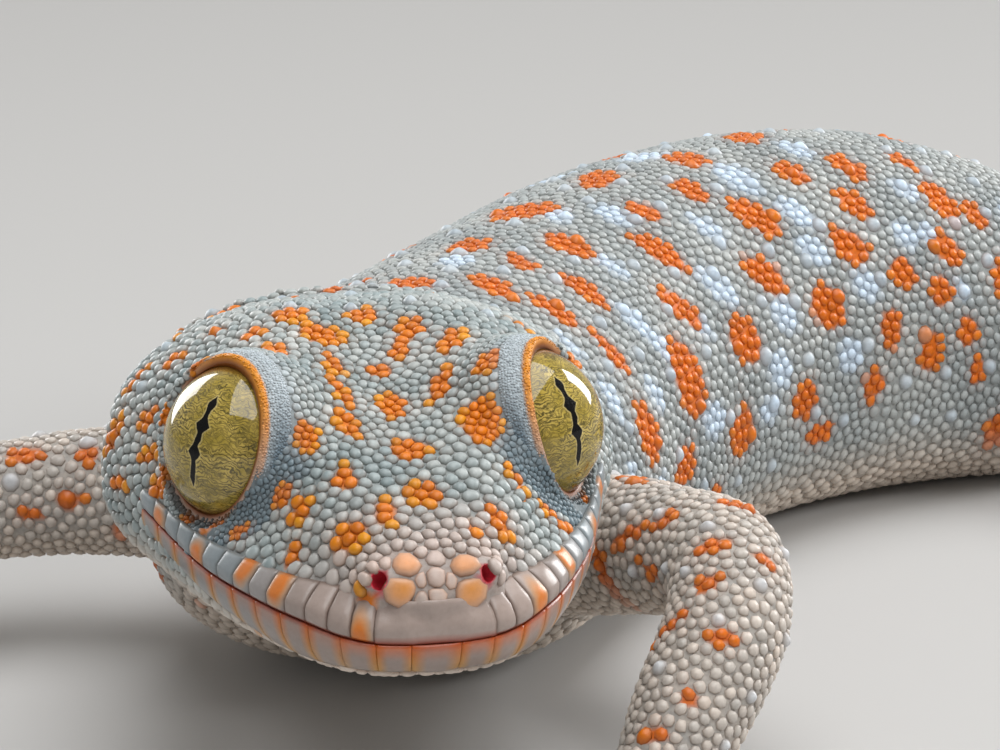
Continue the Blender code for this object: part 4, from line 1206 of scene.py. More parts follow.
def scale_mesh(name, points, normals, sizes, outline, heights, profile, tint, edge_tint, place):
    """Closed domes joined into one mesh: rings of the outline at the profile's shares, and a tip."""
    first, second, angles, reach = outline
    count, sides, rings = len(points), len(angles), len(profile)
    per = sides * rings + 1
    cos, sin = np.cos(angles), np.sin(angles)
    vertices = np.empty((count, per, 3))
    rise = np.empty((count, per))
    local = np.empty((count, per, 2))
    colours = np.repeat(tint[:, None], per, axis=1)
    flat = first[:, None] * cos[None, :, None] + second[:, None] * sin[None, :, None]
    for r, (share, lift) in enumerate(profile):
        block = slice(r * sides, (r + 1) * sides)
        vertices[:, block] = (points[:, None] + flat * (reach * share)[:, :, None]
                              + normals[:, None] * (heights * lift)[:, None, None])
        # The rise is 0 at the foot and 1 at the tip; the material paints shade where it is low.
        rise[:, block] = max(lift, 0)
        colours[:, block] = (tint * (1 - share ** 2) + edge_tint * share ** 2)[:, None]
        local[:, block] = np.stack([cos, sin], 1)[None] * share
    vertices[:, -1] = points + normals * heights[:, None]
    rise[:, -1] = 1.0
    local[:, -1] = 0.0
    vertices[:, :, 2] = np.maximum(vertices[:, :, 2], 0.0)
    faces = []
    for r in range(rings - 1):
        for j in range(sides):
            k = (j + 1) % sides
            a, b = r * sides + j, r * sides + k
            faces += [(a, b, b + sides), (a, b + sides, a + sides)]
    top = (rings - 1) * sides
    faces += [(top + j, top + (j + 1) % sides, per - 1) for j in range(sides)]
    faces += [(0, j + 1, j) for j in range(1, sides - 1)]
    faces = (np.array(faces)[None] + (np.arange(count) * per)[:, None, None]).reshape(-1, 3)
    mesh = mesh_from(name, vertices.reshape(-1, 3), faces)
    set_tint(mesh, colours.reshape(-1, 3))
    set_number(mesh, "rise", rise.ravel())
    set_uv(mesh, "OFBake", (place[:, None] + local * 0.0015).reshape(-1, 2))
    return mesh


HEAD_PROFILE = [(1.0, -0.45), (0.96, 0.18), (0.82, 0.60), (0.50, 0.90)]
BODY_PROFILE = [(1.0, -0.45), (0.80, 0.62)]
PIECE_LIMIT = 180000


def scale_pieces(name, material, chosen, data, sides, profile, heights):
    """A group of scales as pieces that each stay under the limit of triangles."""
    points, normals, sizes, tint, edge_tint, place, outline = data
    each = 2 * sides * (len(profile) - 1) + sides + sides - 2
    order = np.flatnonzero(chosen)
    order = order[np.argsort(points[order, 1], kind="stable")]
    number = max(1, math.ceil(len(order) * each / PIECE_LIMIT))
    for index, part in enumerate(np.array_split(order, number)):
        first, second, angles, reach = outline
        own = (first[part], second[part], angles, reach[part])
        piece_name = f"{name}_{index + 1}"
        mesh = scale_mesh(piece_name, points[part], normals[part], sizes[part], own, heights[part], profile,
                          tint[part], edge_tint[part], place[part])
        finish(object_from(piece_name, mesh), material)


# Spacing of the head's scales in millimetres: middle and reach of each area on the left half, spacing.
HEAD_SPACINGS = [
    ((0, -2, 5), (3.4, 8.0, 20), 0.68),
    ((8.6, -1, 8), (3.0, 6.5, 6), 1.04),
    ((0, -13, 1), (6.5, 4.5, 5), 1.02),
    ((0, -20.6, -5), (4.5, 2.2, 3), 0.95),
    ((16, 7, -9), (5.0, 7.0, 4), 1.05),
    ((17, 4, 0), (4.5, 7.0, 4.5), 0.74),
    ((0, -8, -14), (9.0, 9.0, 3), 0.86),
]
LIP_UPPER = [(-21.0, 2.6), (-16.0, 2.5), (-10.0, 2.3), (-3.0, 1.8), (6.0, 1.2)]
LIP_LOWER = [(-21.0, 2.3), (-17.0, 3.2), (-14.0, 3.4), (-10.0, 2.7), (-6.0, 2.1), (6.0, 1.1)]
LIP_REAR = 4.6
LID_EDGE = 1.33


def hole_share(own, hole, tilt=(0, 0, 1)):
    """How far points of the head lie from the middle of a nostril or an ear: 1 at its rim."""
    centre, radii, outward = hole
    shares = []
    for side in (-1, 1):
        axes = frame_along((side * outward[0],) + outward[1:], tilt)
        away = (own - np.array([side * centre[0], centre[1], centre[2]])) @ axes.T
        shares.append(np.linalg.norm(away / np.array(radii), axis=1))
    return np.minimum(*shares)


def lips_hold(own):
    """Where the lips' plates leave no room for other scales."""
    rise = mouth_rise(own)
    front = np.cos(np.clip(np.abs(own[:, 0]) / 4.4, 0, 1) * math.pi / 2) * (own[:, 1] < -14)
    upper = smooth_rows(LIP_UPPER, own[:, 1])[:, 0] + 0.5 * front
    lower = smooth_rows(LIP_LOWER, own[:, 1])[:, 0]
    return (rise < upper + 0.05) & (rise > -lower - 0.05) & (own[:, 1] < LIP_REAR)


def scale_spacing(skin, part, looks):
    """The spacing of scales at each of the skin's points, and where scales may grow."""
    own = world_to_head(skin.points)
    mirrored = np.abs(own) * [1, 0, 0] + own * [0, 1, 1]
    head = np.full(len(own), looks.head_spacing / MM)
    for middle, reach, size in HEAD_SPACINGS:
        share = hill(mirrored, middle, reach)
        head = head * (1 - share) + size * share
    lid = np.full(len(own), 9.0)
    barred = hole_share(own, EAR, EAR_TILT) < 1.1
    for side in (-1, 1):
        share, around, distance = lid_place(own, side)
        lid = np.minimum(lid, share)
        edge = LID_EDGE - 0.36 * lid_back(side, around)
        low = np.clip((-0.35 - np.sin(around)) / 0.3, 0, 1)
        barred |= (distance < EYE_RADIUS + 0.28) | ((share < edge) & (distance < 6.88 - 0.5 * low)) | (share < 0.98)
    head = np.where(lid < 1.7, np.minimum(head, 0.40 + np.clip(lid - 1.15, 0, 1) * 0.75), head)
    under = np.clip((-0.2 - skin.normals[:, 2]) / 0.4, 0, 1)
    trunk = looks.trunk_spacing / MM * (1 + 0.26 * under)
    spacing = np.select([part == HEAD, part == BODY, part == ARM], [head, trunk, np.full(len(own), 0.98)], 0.8)
    # Sizes change smoothly where one part runs into the next.
    for _ in range(14):
        spacing = spacing + 0.5 * (skin.averaged(spacing) - spacing)
    near_head = np.linalg.norm(own * [1, 1, 1.2], axis=1) < 27
    barred = near_head & (barred | (hole_share(own, NOSTRIL) < 1.4) | ((part == HEAD) & lips_hold(own) & (lid > 1.09)))
    return spacing, ~barred & (skin.points[:, 2] > 0.02)


def tubercle_places(skin, part, looks):
    """Places of the large cone scales on the back, the flanks, the legs and the tail."""
    rng = np.random.default_rng(41)
    own = world_to_head(skin.points)
    allowed = (part == BODY) | (part == ARM) | ((part == HEAD) & (own[:, 1] > 10) & (own[:, 2] > -3))
    allowed &= (skin.normals[:, 2] > -0.25) & (skin.points[:, 2] > 2.5) & (hole_share(own, EAR, EAR_TILT) > 1.8)
    points, sizes = drawn_over(skin, np.full(len(part), looks.tubercle_spacing / MM), allowed, rng, 12)
    thin = np.interp(points[:, 2], [3.5, 12.0], [0.72, 1.0])
    points = points[thinned(points, sizes * thin, 0.5)]
    return on_skin(skin, points)[0]


# Large plates round the nostrils: pixels of the photograph, size in millimetres, colour and its share.
SNOUT_PLATES = [
    (406, 567, 2.1, PEACH, 0.9), (404, 588, 1.9, PEACH_GOLD, 0.85), (464, 567, 2.1, PEACH, 0.9),
    (469, 588, 1.9, PEACH_GOLD, 0.85), (436, 578, 1.7, PINK, 0.6), (436, 559, 1.35, PINK, 0.5),
    (436, 595, 1.1, PINK, 0.6), (421, 580, 1.0, PINK, 0.6), (451, 580, 1.0, PINK, 0.6),
]


def build_scales(looks):
    skin = STATE["skin"]
    spots = STATE["spots"]
    part = skin.part
    spacing, allowed = scale_spacing(skin, part, looks)
    large = tubercle_places(skin, part, looks)
    thin = np.interp(large[:, 2], [3.0, 14.0], [0.72, 1.0])
    head_ones = world_to_head(large)[:, 1] < 16
    large_sizes = looks.tubercle_size / MM * thin * np.where(head_ones, 0.8, 1.0)
    plates = [(np.array(spots.hit(x, y)[0]), size, hue, share) for x, y, size, hue, share in SNOUT_PLATES]
    fixed = np.concatenate([large, [plate[0] for plate in plates]])
    fixed_sizes = np.concatenate([large_sizes, [plate[1] for plate in plates]])
    points, normals, sizes = scatter(skin, spacing, allowed, 17, fixed, fixed_sizes)
    tubercle = np.arange(len(points)) < len(large)
    parts, place = skin.where(points)
    tint, orange = tint_of(points, normals, parts, place, spots, 23)
    rng = np.random.default_rng(5)
    tint = np.clip(tint * (1 + 0.07 * rng.normal(size=(len(tint), 1))), 0, 1)
    tint = np.where((tubercle & (orange < 0.5))[:, None], blend(tint, SKY, np.full(len(tint), 0.35)), tint)
    for index, (_, _, hue, share) in enumerate(plates):
        here = len(large) + index
        tint[here] = tint[here] * (1 - share) + hue * share
    nearby, _ = neighbours(points, normals, 6)
    shares = 0.35 * (1 - 0.7 * orange)
    shares[len(large):len(fixed)] = 0.8
    edge_tint = blend(tint, tint[nearby].mean(axis=1), shares)
    heights = sizes * np.where(parts == HEAD, 0.40, 0.32)
    heights[len(large):len(fixed)] *= 0.55
    heights[tubercle] = looks.tubercle_height / MM * np.minimum(thin, 1.0)
    on_head = (parts == HEAD) & ~tubercle
    material = STATE.setdefault("scale", scale_material("gecko scales", 0.30, 0.09))
    for name, chosen, sides, profile in (("head_scales", on_head, 10, HEAD_PROFILE),
                                         ("body_scales", ~on_head & ~tubercle, 7, BODY_PROFILE),
                                         ("tubercles", tubercle, 10, TUBERCLE_PROFILE)):
        outline = fitted_outlines(points, normals, sizes, sides, 0.02)
        data = (points, normals, sizes, tint, edge_tint, place, outline)
        scale_pieces(name, material, chosen, data, sides, profile, heights)


TUBERCLE_PROFILE = [(1.0, -0.3), (0.84, 0.22), (0.56, 0.62), (0.26, 0.93)]


def build_skin(looks):
    body = Body()
    form = gecko_form(body)
    made = object_from("gecko_skin", mesh_from("gecko_skin", np.concatenate(form.points),
                                               np.concatenate(form.faces)))
    fuse = made.modifiers.new("fuse", "REMESH")
    fuse.mode = "VOXEL"
    fuse.voxel_size = looks.voxel
    baked(made)
    points = relaxed(made.data, vertex_array(made.data), 6)
    points -= vertex_normals(points, triangle_array(made.data)) * looks.depth / MM
    points[:, 2] = np.maximum(points[:, 2], 0.0)
    made.data.vertices.foreach_set("co", metres(points).astype(np.float32).ravel())
    made.data.update()
    cutters = []
    for side in (-1, 1):
        cutters.append(ellipsoid("socket", head_to_world([eye_centre(side)])[0], [6.12] * 3, np.eye(3), 48, 32))
        cutters.append(eye_window(side))
        for name, (centre, radii, outward_way), tilt in (("nostril", NOSTRIL, (0, 0, 1)), ("ear", EAR, EAR_TILT)):
            axes = frame_along(head_direction((side * outward_way[0],) + outward_way[1:]), head_direction(tilt))
            cutters.append(ellipsoid(name, mirrored_place(centre, side), radii, axes, 32, 20))
    cut(made, cutters)
    refined(made.data, 0.0005, [head_to_world([eye_centre(side)])[0] for side in (-1, 1)], 0.0082)
    skin = Skin(made.data, form, body)
    STATE["skin"] = skin
    STATE["tail_share"] = body.tail_start / body.length
    skin.part, place = skin.where(skin.points)
    STATE["spots"] = lay_spots(skin)
    tint, _ = tint_of(skin.points, skin.normals, skin.part, place, STATE["spots"], 3, groove=True)
    set_tint(made.data, tint)
    set_uv(made.data, "OFBake", place)
    finish(made, skin_material(), replaces=FLESH)


def lay_spots(skin):
    """The photograph's spots where it shows the skin, and spots of the same kinds where it doesn't."""
    camera = Camera()
    spots = Spots(skin, camera)
    for rows, grow in ((HEAD_SPOTS, 1.06), (BODY_ORANGE, 1.15), (ARM_ORANGE, 1.15)):
        spots.add_from_photo(rows, "orange", 2.2, grow)
    spots.add_from_photo(BODY_PALE, "pale", 2.2, 1.25)
    rng = np.random.default_rng(8)
    sample = rng.choice(len(skin.points), 9000, replace=False)
    pixels = camera.pixels(skin.points[sample])
    unseen = []
    for index, (x, y) in zip(sample, pixels.tolist()):
        place, _ = spots.hit(x, y)
        inside = 0 < x < PHOTO_SIZE[0] and 0 < y < PHOTO_SIZE[1]
        if not inside or place is None or np.linalg.norm(place - skin.points[index]) > 2.0:
            unseen.append(index)
    unseen = np.array(unseen)
    unseen = unseen[skin.normals[unseen, 2] > -0.4]
    part = skin.part[unseen]
    own = world_to_head(skin.points[unseen])
    tail = skin.where(skin.points[unseen])[1][:, 0] > BODY_BOX[0] + STATE["tail_share"] * (BODY_BOX[1] - BODY_BOX[0])
    groups = [
        ((part == HEAD) & (mouth_rise(own) > 2), "orange", 4.4, 3.0, 1.15, 0.95),
        ((part == BODY) & ~tail, "orange", 6.6, 4.0, 1.5, 2.1),
        ((part == BODY) & tail, "orange", 7.0, 3.0, 1.0, 1.2),
        ((part >= ARM), "orange", 5.4, 3.0, 0.9, 1.2),
        ((part == BODY) & ~tail, "pale", 6.6, 3.9, 1.4, 1.7),
    ]
    way = np.array([0.31, 0.47, 0.83])
    for number, (chosen, kind, apart, clear, long, wide) in enumerate(groups):
        picked = unseen[chosen]
        spots.add_scattered(skin.points[picked], skin.normals[picked], [way] * len(picked), 100 + number, kind,
                            apart, clear, long, wide)
    return spots


class LipPath:
    """Places on the head's surface along the lips: from the snout's tip round to below the eye."""

    def __init__(self):
        loft = Form()
        stations = np.linspace(HEAD_FRONT, HEAD_REAR, 90)
        loft.add([head_ring(y, 120) for y in stations])
        self.tree = BVHTree.FromPolygons(np.concatenate(loft.points).tolist(), np.concatenate(loft.faces).tolist())
        self.turn_at = -9.0
        steps = np.linspace(0, 2, 240)
        places = np.array([self.place(1, a, 0.0) for a in steps])
        length = np.concatenate([[0], np.cumsum(np.linalg.norm(np.diff(places, axis=0), axis=1))])
        self.steps, self.lengths = steps, length

    def place(self, side, step, rise):
        """The surface at a step round the lip (0 snout's tip, 1 side, 2 rear), over the mouth's line."""
        if step <= 1:
            angle = step * math.pi / 2
            start, way = np.array([0.0, self.turn_at, 0.0]), np.array([math.sin(angle), -math.cos(angle), 0.0])
        else:
            start = np.array([0.0, self.turn_at + (step - 1) * (LIP_REAR - self.turn_at), 0.0])
            way = np.array([1.0, 0.0, 0.0])
        station = start[1]
        for _ in range(3):
            start[2] = mouth_height(station)[0] + rise
            hit = self.tree.ray_cast(start.tolist(), way.tolist())[0]
            station = hit[1]
        return np.array(hit) * [side, 1, 1]

    def along(self, distance):
        return np.interp(distance, self.lengths, self.steps)


def pillow_grid(corner_places, lift, sink, power):
    """A closed plate over a grid of places: pillowed on top, with its rim and floor under the skin."""
    grid = corner_places
    rows, columns = grid.shape[:2]
    across = np.gradient(grid, axis=1)
    upward = np.gradient(grid, axis=0)
    normal = np.cross(across, upward)
    normal /= np.linalg.norm(normal, axis=2)[:, :, None]
    middle = grid.reshape(-1, 3).mean(axis=0)
    if np.dot(normal.reshape(-1, 3).mean(axis=0), middle - [0, -4, middle[2]]) < 0:
        normal = -normal
    u = np.abs(np.linspace(-1, 1, columns))[None, :]
    v = np.abs(np.linspace(-1, 1, rows))[:, None]
    dome = np.sqrt(np.clip((1 - u ** power) * (1 - v ** power), 0, 1))
    top = grid + normal * (-sink + (lift + sink) * dome)[:, :, None]
    floor = grid - normal * (sink + 0.3)
    points = np.concatenate([top.reshape(-1, 3), floor.reshape(-1, 3)])
    faces = []
    size = rows * columns
    for r in range(rows - 1):
        for c in range(columns - 1):
            a, b = r * columns + c, r * columns + c + 1
            faces += [(a, b, b + columns), (a, b + columns, a + columns)]
            a, b = a + size, b + size
            faces += [(a, b + columns, b), (a, a + columns, b + columns)]
    rim = [(0, c) for c in range(columns)] + [(r, columns - 1) for r in range(1, rows)]
    rim += [(rows - 1, c) for c in range(columns - 2, -1, -1)] + [(r, 0) for r in range(rows - 2, 0, -1)]
    loop = [r * columns + c for r, c in rim]
    for a, b in zip(loop, loop[1:] + loop[:1]):
        faces += [(a, a + size, b + size), (a, b + size, b)]
    rise = np.concatenate([dome.ravel(), np.zeros(size)])
    return points, np.array(faces), rise


# Lip plates: row, number a side, gap and reach over the mouth's line, half width of the one in front.
LIP_PLATES = [("upper", 14, 0.07, LIP_UPPER, 1, 4.4), ("lower", 11, -0.07, LIP_LOWER, -1, 1.8)]
# Orange patches on the upper plates: number of the plate, then how far across and up it.
LIP_PATCHES = {1: (0.6, 0.1), 5: (0.5, 0.65), 7: (0.5, 0.75), 10: (0.4, 0.3), 13: (0.5, 0.4), 17: (0.5, 0.2),
               20: (0.4, 0.7), 24: (0.5, 0.3), 27: (0.5, 0.5)}
PEARL = linear(160, 144, 136)
PEARL_BLUE = linear(134, 146, 152)


def build_lips():
    path = LipPath()
    spots = STATE["spots"]
    skin = STATE["skin"]
    all_points, all_faces, all_rise, all_tint, all_uv = [], [], [], [], []
    total = 0
    rng = random.Random(77)
    for row, number, gap, heights, way, front in LIP_PLATES:
        plates = [(1, -front, front)]
        spans = front + (path.lengths[-1] - front) * np.linspace(0, 1, number + 1) ** 1.06
        for side in (-1, 1):
            plates += [(side, a, b) for a, b in zip(spans[:-1], spans[1:])]
        for index, (side, begin, end) in enumerate(plates):
            columns, rows = (30 if index == 0 else 14), 11
            grid = np.empty((rows, columns, 3))
            for c, distance in enumerate(np.linspace(begin + 0.01, end - 0.01, columns)):
                here = side if distance >= 0 else -side
                step = path.along(abs(distance))
                station = path.place(1, step, 0.0)[1]
                tall = smooth_rows(heights, station)[0, 0]
                if index == 0:
                    # The plates at the tip are taller in their middle.
                    tall += 0.5 * math.cos(distance / front * math.pi / 2)
                for r, share in enumerate(np.linspace(0, 1, rows)):
                    grid[r, c] = path.place(here, step, gap + way * tall * share)
            lift, sink, power = (0.13, 0.12, 3.0) if row == "upper" else (0.03, 0.02, 6)
            if index == 0:
                lift, sink, power = (0.03, 0.05, 6)
            points, faces, rise = pillow_grid(grid, lift, sink, power)
            # The front plate and the lower row get less painted shade at their foot.
            if index == 0 or row == "lower":
                rise = 0.6 + 0.4 * rise
            points = head_to_world(points)
            middle = points[:rows * columns].mean(axis=0)
            tint = PEARL * (1 + rng.uniform(-0.08, 0.05))
            blue = min(max((world_to_head([middle])[0, 1] + 16) / 8, 0), 1) * (0.9 if row == "upper" else 0.5)
            tint = tint * (1 - blue) + PEARL_BLUE * blue
            # Painted shade: the lower row of plates is darker.
            if row == "lower":
                tint = tint * 0.86
            colours = np.tile(tint, (len(points), 1))
            # Orange runs down some plates, strongest towards one side of each.
            across = np.tile(np.linspace(0, 1, columns), 2 * rows)
            upright = np.tile(np.repeat(np.linspace(0, 1, rows), columns), 2)
            if row == "lower":
                for border, at in ((index, 0.0), (index + 1, 1.0)):
                    strong = random.Random(900 + border % (number + 1)).uniform(0.7, 1.0)
                    edge = np.clip(1.2 - np.abs(across - at) / 0.26, 0, 1)
                    band = blend(RUST * 0.8, AMBER * 0.8, np.clip(upright * 1.2, 0, 1))
                    colours = blend(colours, band, edge * strong * (1 - 0.35 * upright))
                tip = max(0.0, 1 - abs(begin + end) / 22)
                top = np.clip(1 - upright / 0.45, 0, 1) * (rng.uniform(0.1, 0.4) + 0.5 * tip)
                colours = blend(colours, RUST, top)
            elif index in LIP_PATCHES:
                aside, high = LIP_PATCHES[index]
                patch = np.clip(1.7 - np.hypot((across - aside) / 0.34, (upright - high) / 0.42), 0, 1)
                colours = blend(colours, blend(AMBER, ORANGE, patch), patch * 0.9)
            near_line = np.clip(1 - upright / (0.2 if index == 0 else 0.1), 0, 1)
            colours = blend(colours, LIP_RED, near_line * (0.8 if row == "upper" else 0.6))
            uv = skin.where(middle[None])[1]
            local = np.stack([across - 0.5, upright - 0.5], 1) * 0.003
            all_points.append(points)
            all_faces.append(faces + total)
            all_rise.append(rise)
            all_tint.append(colours)
            all_uv.append(uv + local)
            total += len(points)
    mesh = mesh_from("lip_plates", np.concatenate(all_points), np.concatenate(all_faces))
    outward(mesh)
    set_tint(mesh, np.concatenate(all_tint))
    set_number(mesh, "rise", np.concatenate(all_rise))
    set_uv(mesh, "OFBake", np.concatenate(all_uv))
    finish(object_from("lip_plates", mesh), scale_material("lip plates", 0.26, 0.35))


def outward(mesh):
    """Turns the faces of closed shapes to point outwards."""
    tidy = bmesh.new()
    tidy.from_mesh(mesh)
    bmesh.ops.recalc_face_normals(tidy, faces=tidy.faces)
    tidy.to_mesh(mesh)
    tidy.free()


# The lid's rim as one closed section: how far from the opening's middle, how far from the eye's, and the
# crest's extra height.
LID_PROFILE = [(0.975, 6.03, 0.0), (0.975, 6.25, 0.2), (0.985, 6.5, 0.32), (1.005, 6.66, 0.36), (1.03, 6.74, 0.28),
               (1.055, 6.76, 0.14), (1.08, 6.80, 0.02), (1.11, 6.90, 0.0), (1.15, 6.99, 0.0), (1.20, 7.02, 0.0),
               (1.25, 6.98, 0.0), (1.29, 6.86, 0.0), (1.32, 6.4, 0.0), (1.2, 6.12, 0.0), (1.08, 6.08, 0.0)]
LID_ROWS = [1.0, 1.022, 1.044, 1.066, 1.09, 1.117, 1.144, 1.171, 1.198, 1.225, 1.252, 1.279, 1.303]
LID_BEADS = 160
LID_BAND = linear(178, 188, 194)
LID_LOW = linear(70, 96, 112)
LID_GOLD = linear(222, 142, 26)
LID_INNER_SHADOW = linear(150, 78, 14)
LID_PINK = linear(176, 152, 138)


def lid_crest(side, around):
    """How far the gold crest stands up at each turn: full over the top, gone at the back and below."""
    front = -side * np.cos(around)
    return smooth_step(0.20 + 0.8 * np.sin(around) + 0.28 * front)


def lid_radius(widen, crest):
    outer = LID_PROFILE[1:13]
    shares = [row[0] for row in outer]
    low = np.interp(widen, shares, [row[1] for row in outer])
    return low + crest * np.interp(widen, shares, [row[2] for row in outer])


def lid_tint(side, widen, around):
    """The lid's colour: a gold crest over the top, a pale band beyond it, darker blue below and towards the snout (its
    own blue with painted shade), and a painted shadow on the crest's inner wall.
    """
    front = -side * np.cos(around)
    crest = lid_crest(side, around)
    # Darker blue below and towards the snout: the lid's own blue with painted shade on its lower side.
    deep = smooth_step(0.42 - 0.8 * np.sin(around) + 0.35 * front) * np.clip((widen - 1.06) / 0.1, 0, 1)
    colour = blend(np.tile(LID_BAND, (len(around), 1)), LID_LOW, deep)
    edge = np.clip((1.075 - widen) / 0.03, 0, 1)
    colour = blend(colour, LID_PINK, edge * (1 - crest))
    colour = blend(colour, LID_GOLD, edge * crest)
    # Painted shadow on the crest's inner wall, which faces the eye.
    return blend(colour, LID_INNER_SHADOW, np.clip((0.986 - widen) / 0.01, 0, 1) * 0.85)


def build_lids():
    material = scale_material("lid rims", 0.4, 0.2)
    for side, name in ((-1, "right"), (1, "left")):
        count = 180
        around = 2 * math.pi * np.arange(count) / count
        rings, tints = [], []
        for widen, radius, extra in LID_PROFILE:
            far = radius + extra * lid_crest(side, around) + 0.04 * np.sin(around * 23 + widen * 40) * (extra > 0.2)
            far = np.maximum(far - 0.35 * lid_back(side, around), min(radius, 6.1))
            spread = 1 + (widen - 1) * lid_span(side, around)
            rings.append(eye_centre(side) + lid_directions(side, spread, around) * far[:, None])
            tints.append(lid_tint(side, np.full(count, widen), around))
        sections = len(rings)
        faces = []
        for r in range(sections):
            for j in range(count):
                k, m = (j + 1) % count, (r + 1) % sections
                a, b, c, d = r * count + j, r * count + k, m * count + k, m * count + j
                faces += [(a, b, c), (a, c, d)]
        points = head_to_world(np.concatenate(rings))
        mesh = mesh_from(f"lid_{name}", points, faces)
        outward(mesh)
        set_tint(mesh, np.concatenate(tints))
        shade = np.repeat([0.0, 0.2] + [0.6] * (sections - 4) + [0.0, 0.0], count)
        set_number(mesh, "rise", shade)
        place = STATE["skin"].where(points)[1]
        set_uv(mesh, "OFBake", place)
        finish(object_from(f"lid_{name}", mesh), material)
        beads, turns, sizes, colours = [], [], [], []
        rng = np.random.default_rng(60 + side)
        for widen in LID_ROWS:
            number = int(LID_BEADS * widen)
            spin = 2 * math.pi * (np.arange(number) + 0.5 * (len(beads) % 2) + rng.normal(size=number) * 0.2) / number
            wide = widen + rng.normal(size=number) * 0.005
            span = lid_span(side, spin)
            directions = lid_directions(side, 1 + (wide - 1) * span, spin)
            far = lid_radius(wide, lid_crest(side, spin)) - 0.02 - 0.35 * lid_back(side, spin)
            beads.append(eye_centre(side) + directions * far[:, None])
            turns += [Vector(head_direction(d)).to_track_quat("Z", "Y").to_euler() for d in directions]
            half = (0.122 + 0.016 * rng.normal(size=number)) * (0.5 + 0.5 * span) * (0.85 if widen < 1.08 else 1.0)
            sizes += np.stack([half, half, half * 0.75], 1).tolist()
            colours.append(lid_tint(side, wide, spin) * (1 + 0.13 * rng.normal(size=(number, 1))))
        grow_beads(f"lid_beads_{name}", head_to_world(np.concatenate(beads)), turns, sizes,
                   np.clip(np.concatenate(colours), 0, 1), material, 6, 4)


def nodes_tree(name, inputs):
    """A Geometry Nodes tree with a geometry input, named inputs and a geometry output."""
    tree = bpy.data.node_groups.new(name, "GeometryNodeTree")
    tree.interface.new_socket("Geometry", in_out="INPUT", socket_type="NodeSocketGeometry")
    ids = {}
    for label, (kind, value) in inputs.items():
        socket = tree.interface.new_socket(label, in_out="INPUT", socket_type=kind)
        if value is not None:
            socket.default_value = value
        ids[label] = socket.identifier
    tree.interface.new_socket("Geometry", in_out="OUTPUT", socket_type="NodeSocketGeometry")
    return tree, ids, tree.nodes.new("NodeGroupInput"), tree.nodes.new("NodeGroupOutput")


def add_node(tree, kind, settings=None, inputs=None):
    """One node with its settings, and the values or links of its sockets."""
    made = tree.nodes.new(kind)
    for key, value in (settings or {}).items():
        setattr(made, key, value)
    for key, value in (inputs or {}).items():
        if isinstance(value, bpy.types.NodeSocket):
            tree.links.new(value, made.inputs[key])
        else:
            made.inputs[key].default_value = value
    return made


def named(tree, name, kind):
    return add_node(tree, "GeometryNodeInputNamedAttribute", {"data_type": kind}, {"Name": name}).outputs["Attribute"]


def bead_tree():
    """Beads on points: each turned and sized by its point's attributes."""
    tree, ids, given, result = nodes_tree("beads on points", {
        "Segments": ("NodeSocketInt", 9), "Rings": ("NodeSocketInt", 6), "Material": ("NodeSocketMaterial", None)})
    ball = add_node(tree, "GeometryNodeMeshUVSphere", {}, {"Segments": given.outputs["Segments"],
                                                           "Rings": given.outputs["Rings"], "Radius": 1.0})
    turn = add_node(tree, "FunctionNodeEulerToRotation", {}, {0: named(tree, "turn", "FLOAT_VECTOR")})
    placed = add_node(tree, "GeometryNodeInstanceOnPoints", {}, {
        "Points": given.outputs["Geometry"], "Instance": ball.outputs["Mesh"], "Rotation": turn.outputs[0],
        "Scale": named(tree, "size", "FLOAT_VECTOR")})
    solid = add_node(tree, "GeometryNodeRealizeInstances", {}, {"Geometry": placed.outputs["Instances"]})
    last = add_node(tree, "GeometryNodeSetMaterial", {}, {"Geometry": solid.outputs["Geometry"],
                                                          "Material": given.outputs["Material"]})
    tree.links.new(last.outputs["Geometry"], result.inputs[0])
    return tree, ids


def grown(name, mesh, tree, ids, values):
    """What a tree makes of a mesh, as a plain mesh."""
    carrier = object_from(name, mesh)
    modifier = carrier.modifiers.new("grow", "NODES")
    modifier.node_group = tree
    for label, value in values.items():
        modifier[ids[label]] = value
    baked(carrier)
    return carrier


def grow_beads(name, points, turns, sizes, colours, material, segments, rings):
    """Small domed beads at these places, as one piece."""
    seeds = bpy.data.meshes.new(name)
    seeds.vertices.add(len(points))
    seeds.vertices.foreach_set("co", metres(points).astype(np.float32).ravel())
    set_vectors(seeds, "turn", [tuple(t) for t in turns])
    set_vectors(seeds, "size", np.array(sizes) * MM)
    set_tint(seeds, colours)
    place = STATE["skin"].where(points)[1]
    set_vectors(seeds, "root", np.column_stack([place, np.zeros(len(place))]))
    if "bead_tree" not in STATE:
        STATE["bead_tree"] = bead_tree()
    tree, ids = STATE["bead_tree"]
    piece = grown(name, seeds, tree, ids, {"Segments": segments, "Rings": rings, "Material": material})
    mesh = piece.data
    each = len(mesh.vertices) // len(points)
    local = vertex_array(mesh).reshape(len(points), each, 3) - points[:, None]
    reach = np.abs(local).max(axis=(1, 2))[:, None]
    # Painted shade on each bead's lower part, through its rise.
    set_number(mesh, "rise", np.clip(0.35 + 0.65 * local[:, :, 2] / reach, 0, 1).ravel())
    patch = place[:, None] + local[:, :, :2] / reach[:, :, None] * 0.0015
    for layer in list(mesh.uv_layers):
        mesh.uv_layers.remove(layer)
    set_uv(mesh, "OFBake", patch.reshape(-1, 2))
    return finish(piece, material)


GAZE_REACH = math.radians(60)


def gaze_frame(camera, name, side):
    """Rows: the way the pupil faces, across it and along its slit towards its upper end."""
    centre = head_to_world([eye_centre(side)])[0]
    found = []
    for x, y in PUPILS[name]:
        way = camera.ray(x, y)
        back = centre - camera.place
        nearest = back @ way
        depth = nearest - math.sqrt(max(EYE_RADIUS ** 2 - (back @ back - nearest ** 2), 0.01))
        found.append((camera.place + way * depth - centre) / EYE_RADIUS)
    upper, middle, lower = found
    up = upper - lower
    up -= middle * (up @ middle)
    up /= np.linalg.norm(up)
    return np.array([middle / np.linalg.norm(middle), np.cross(up, middle / np.linalg.norm(middle)), up])


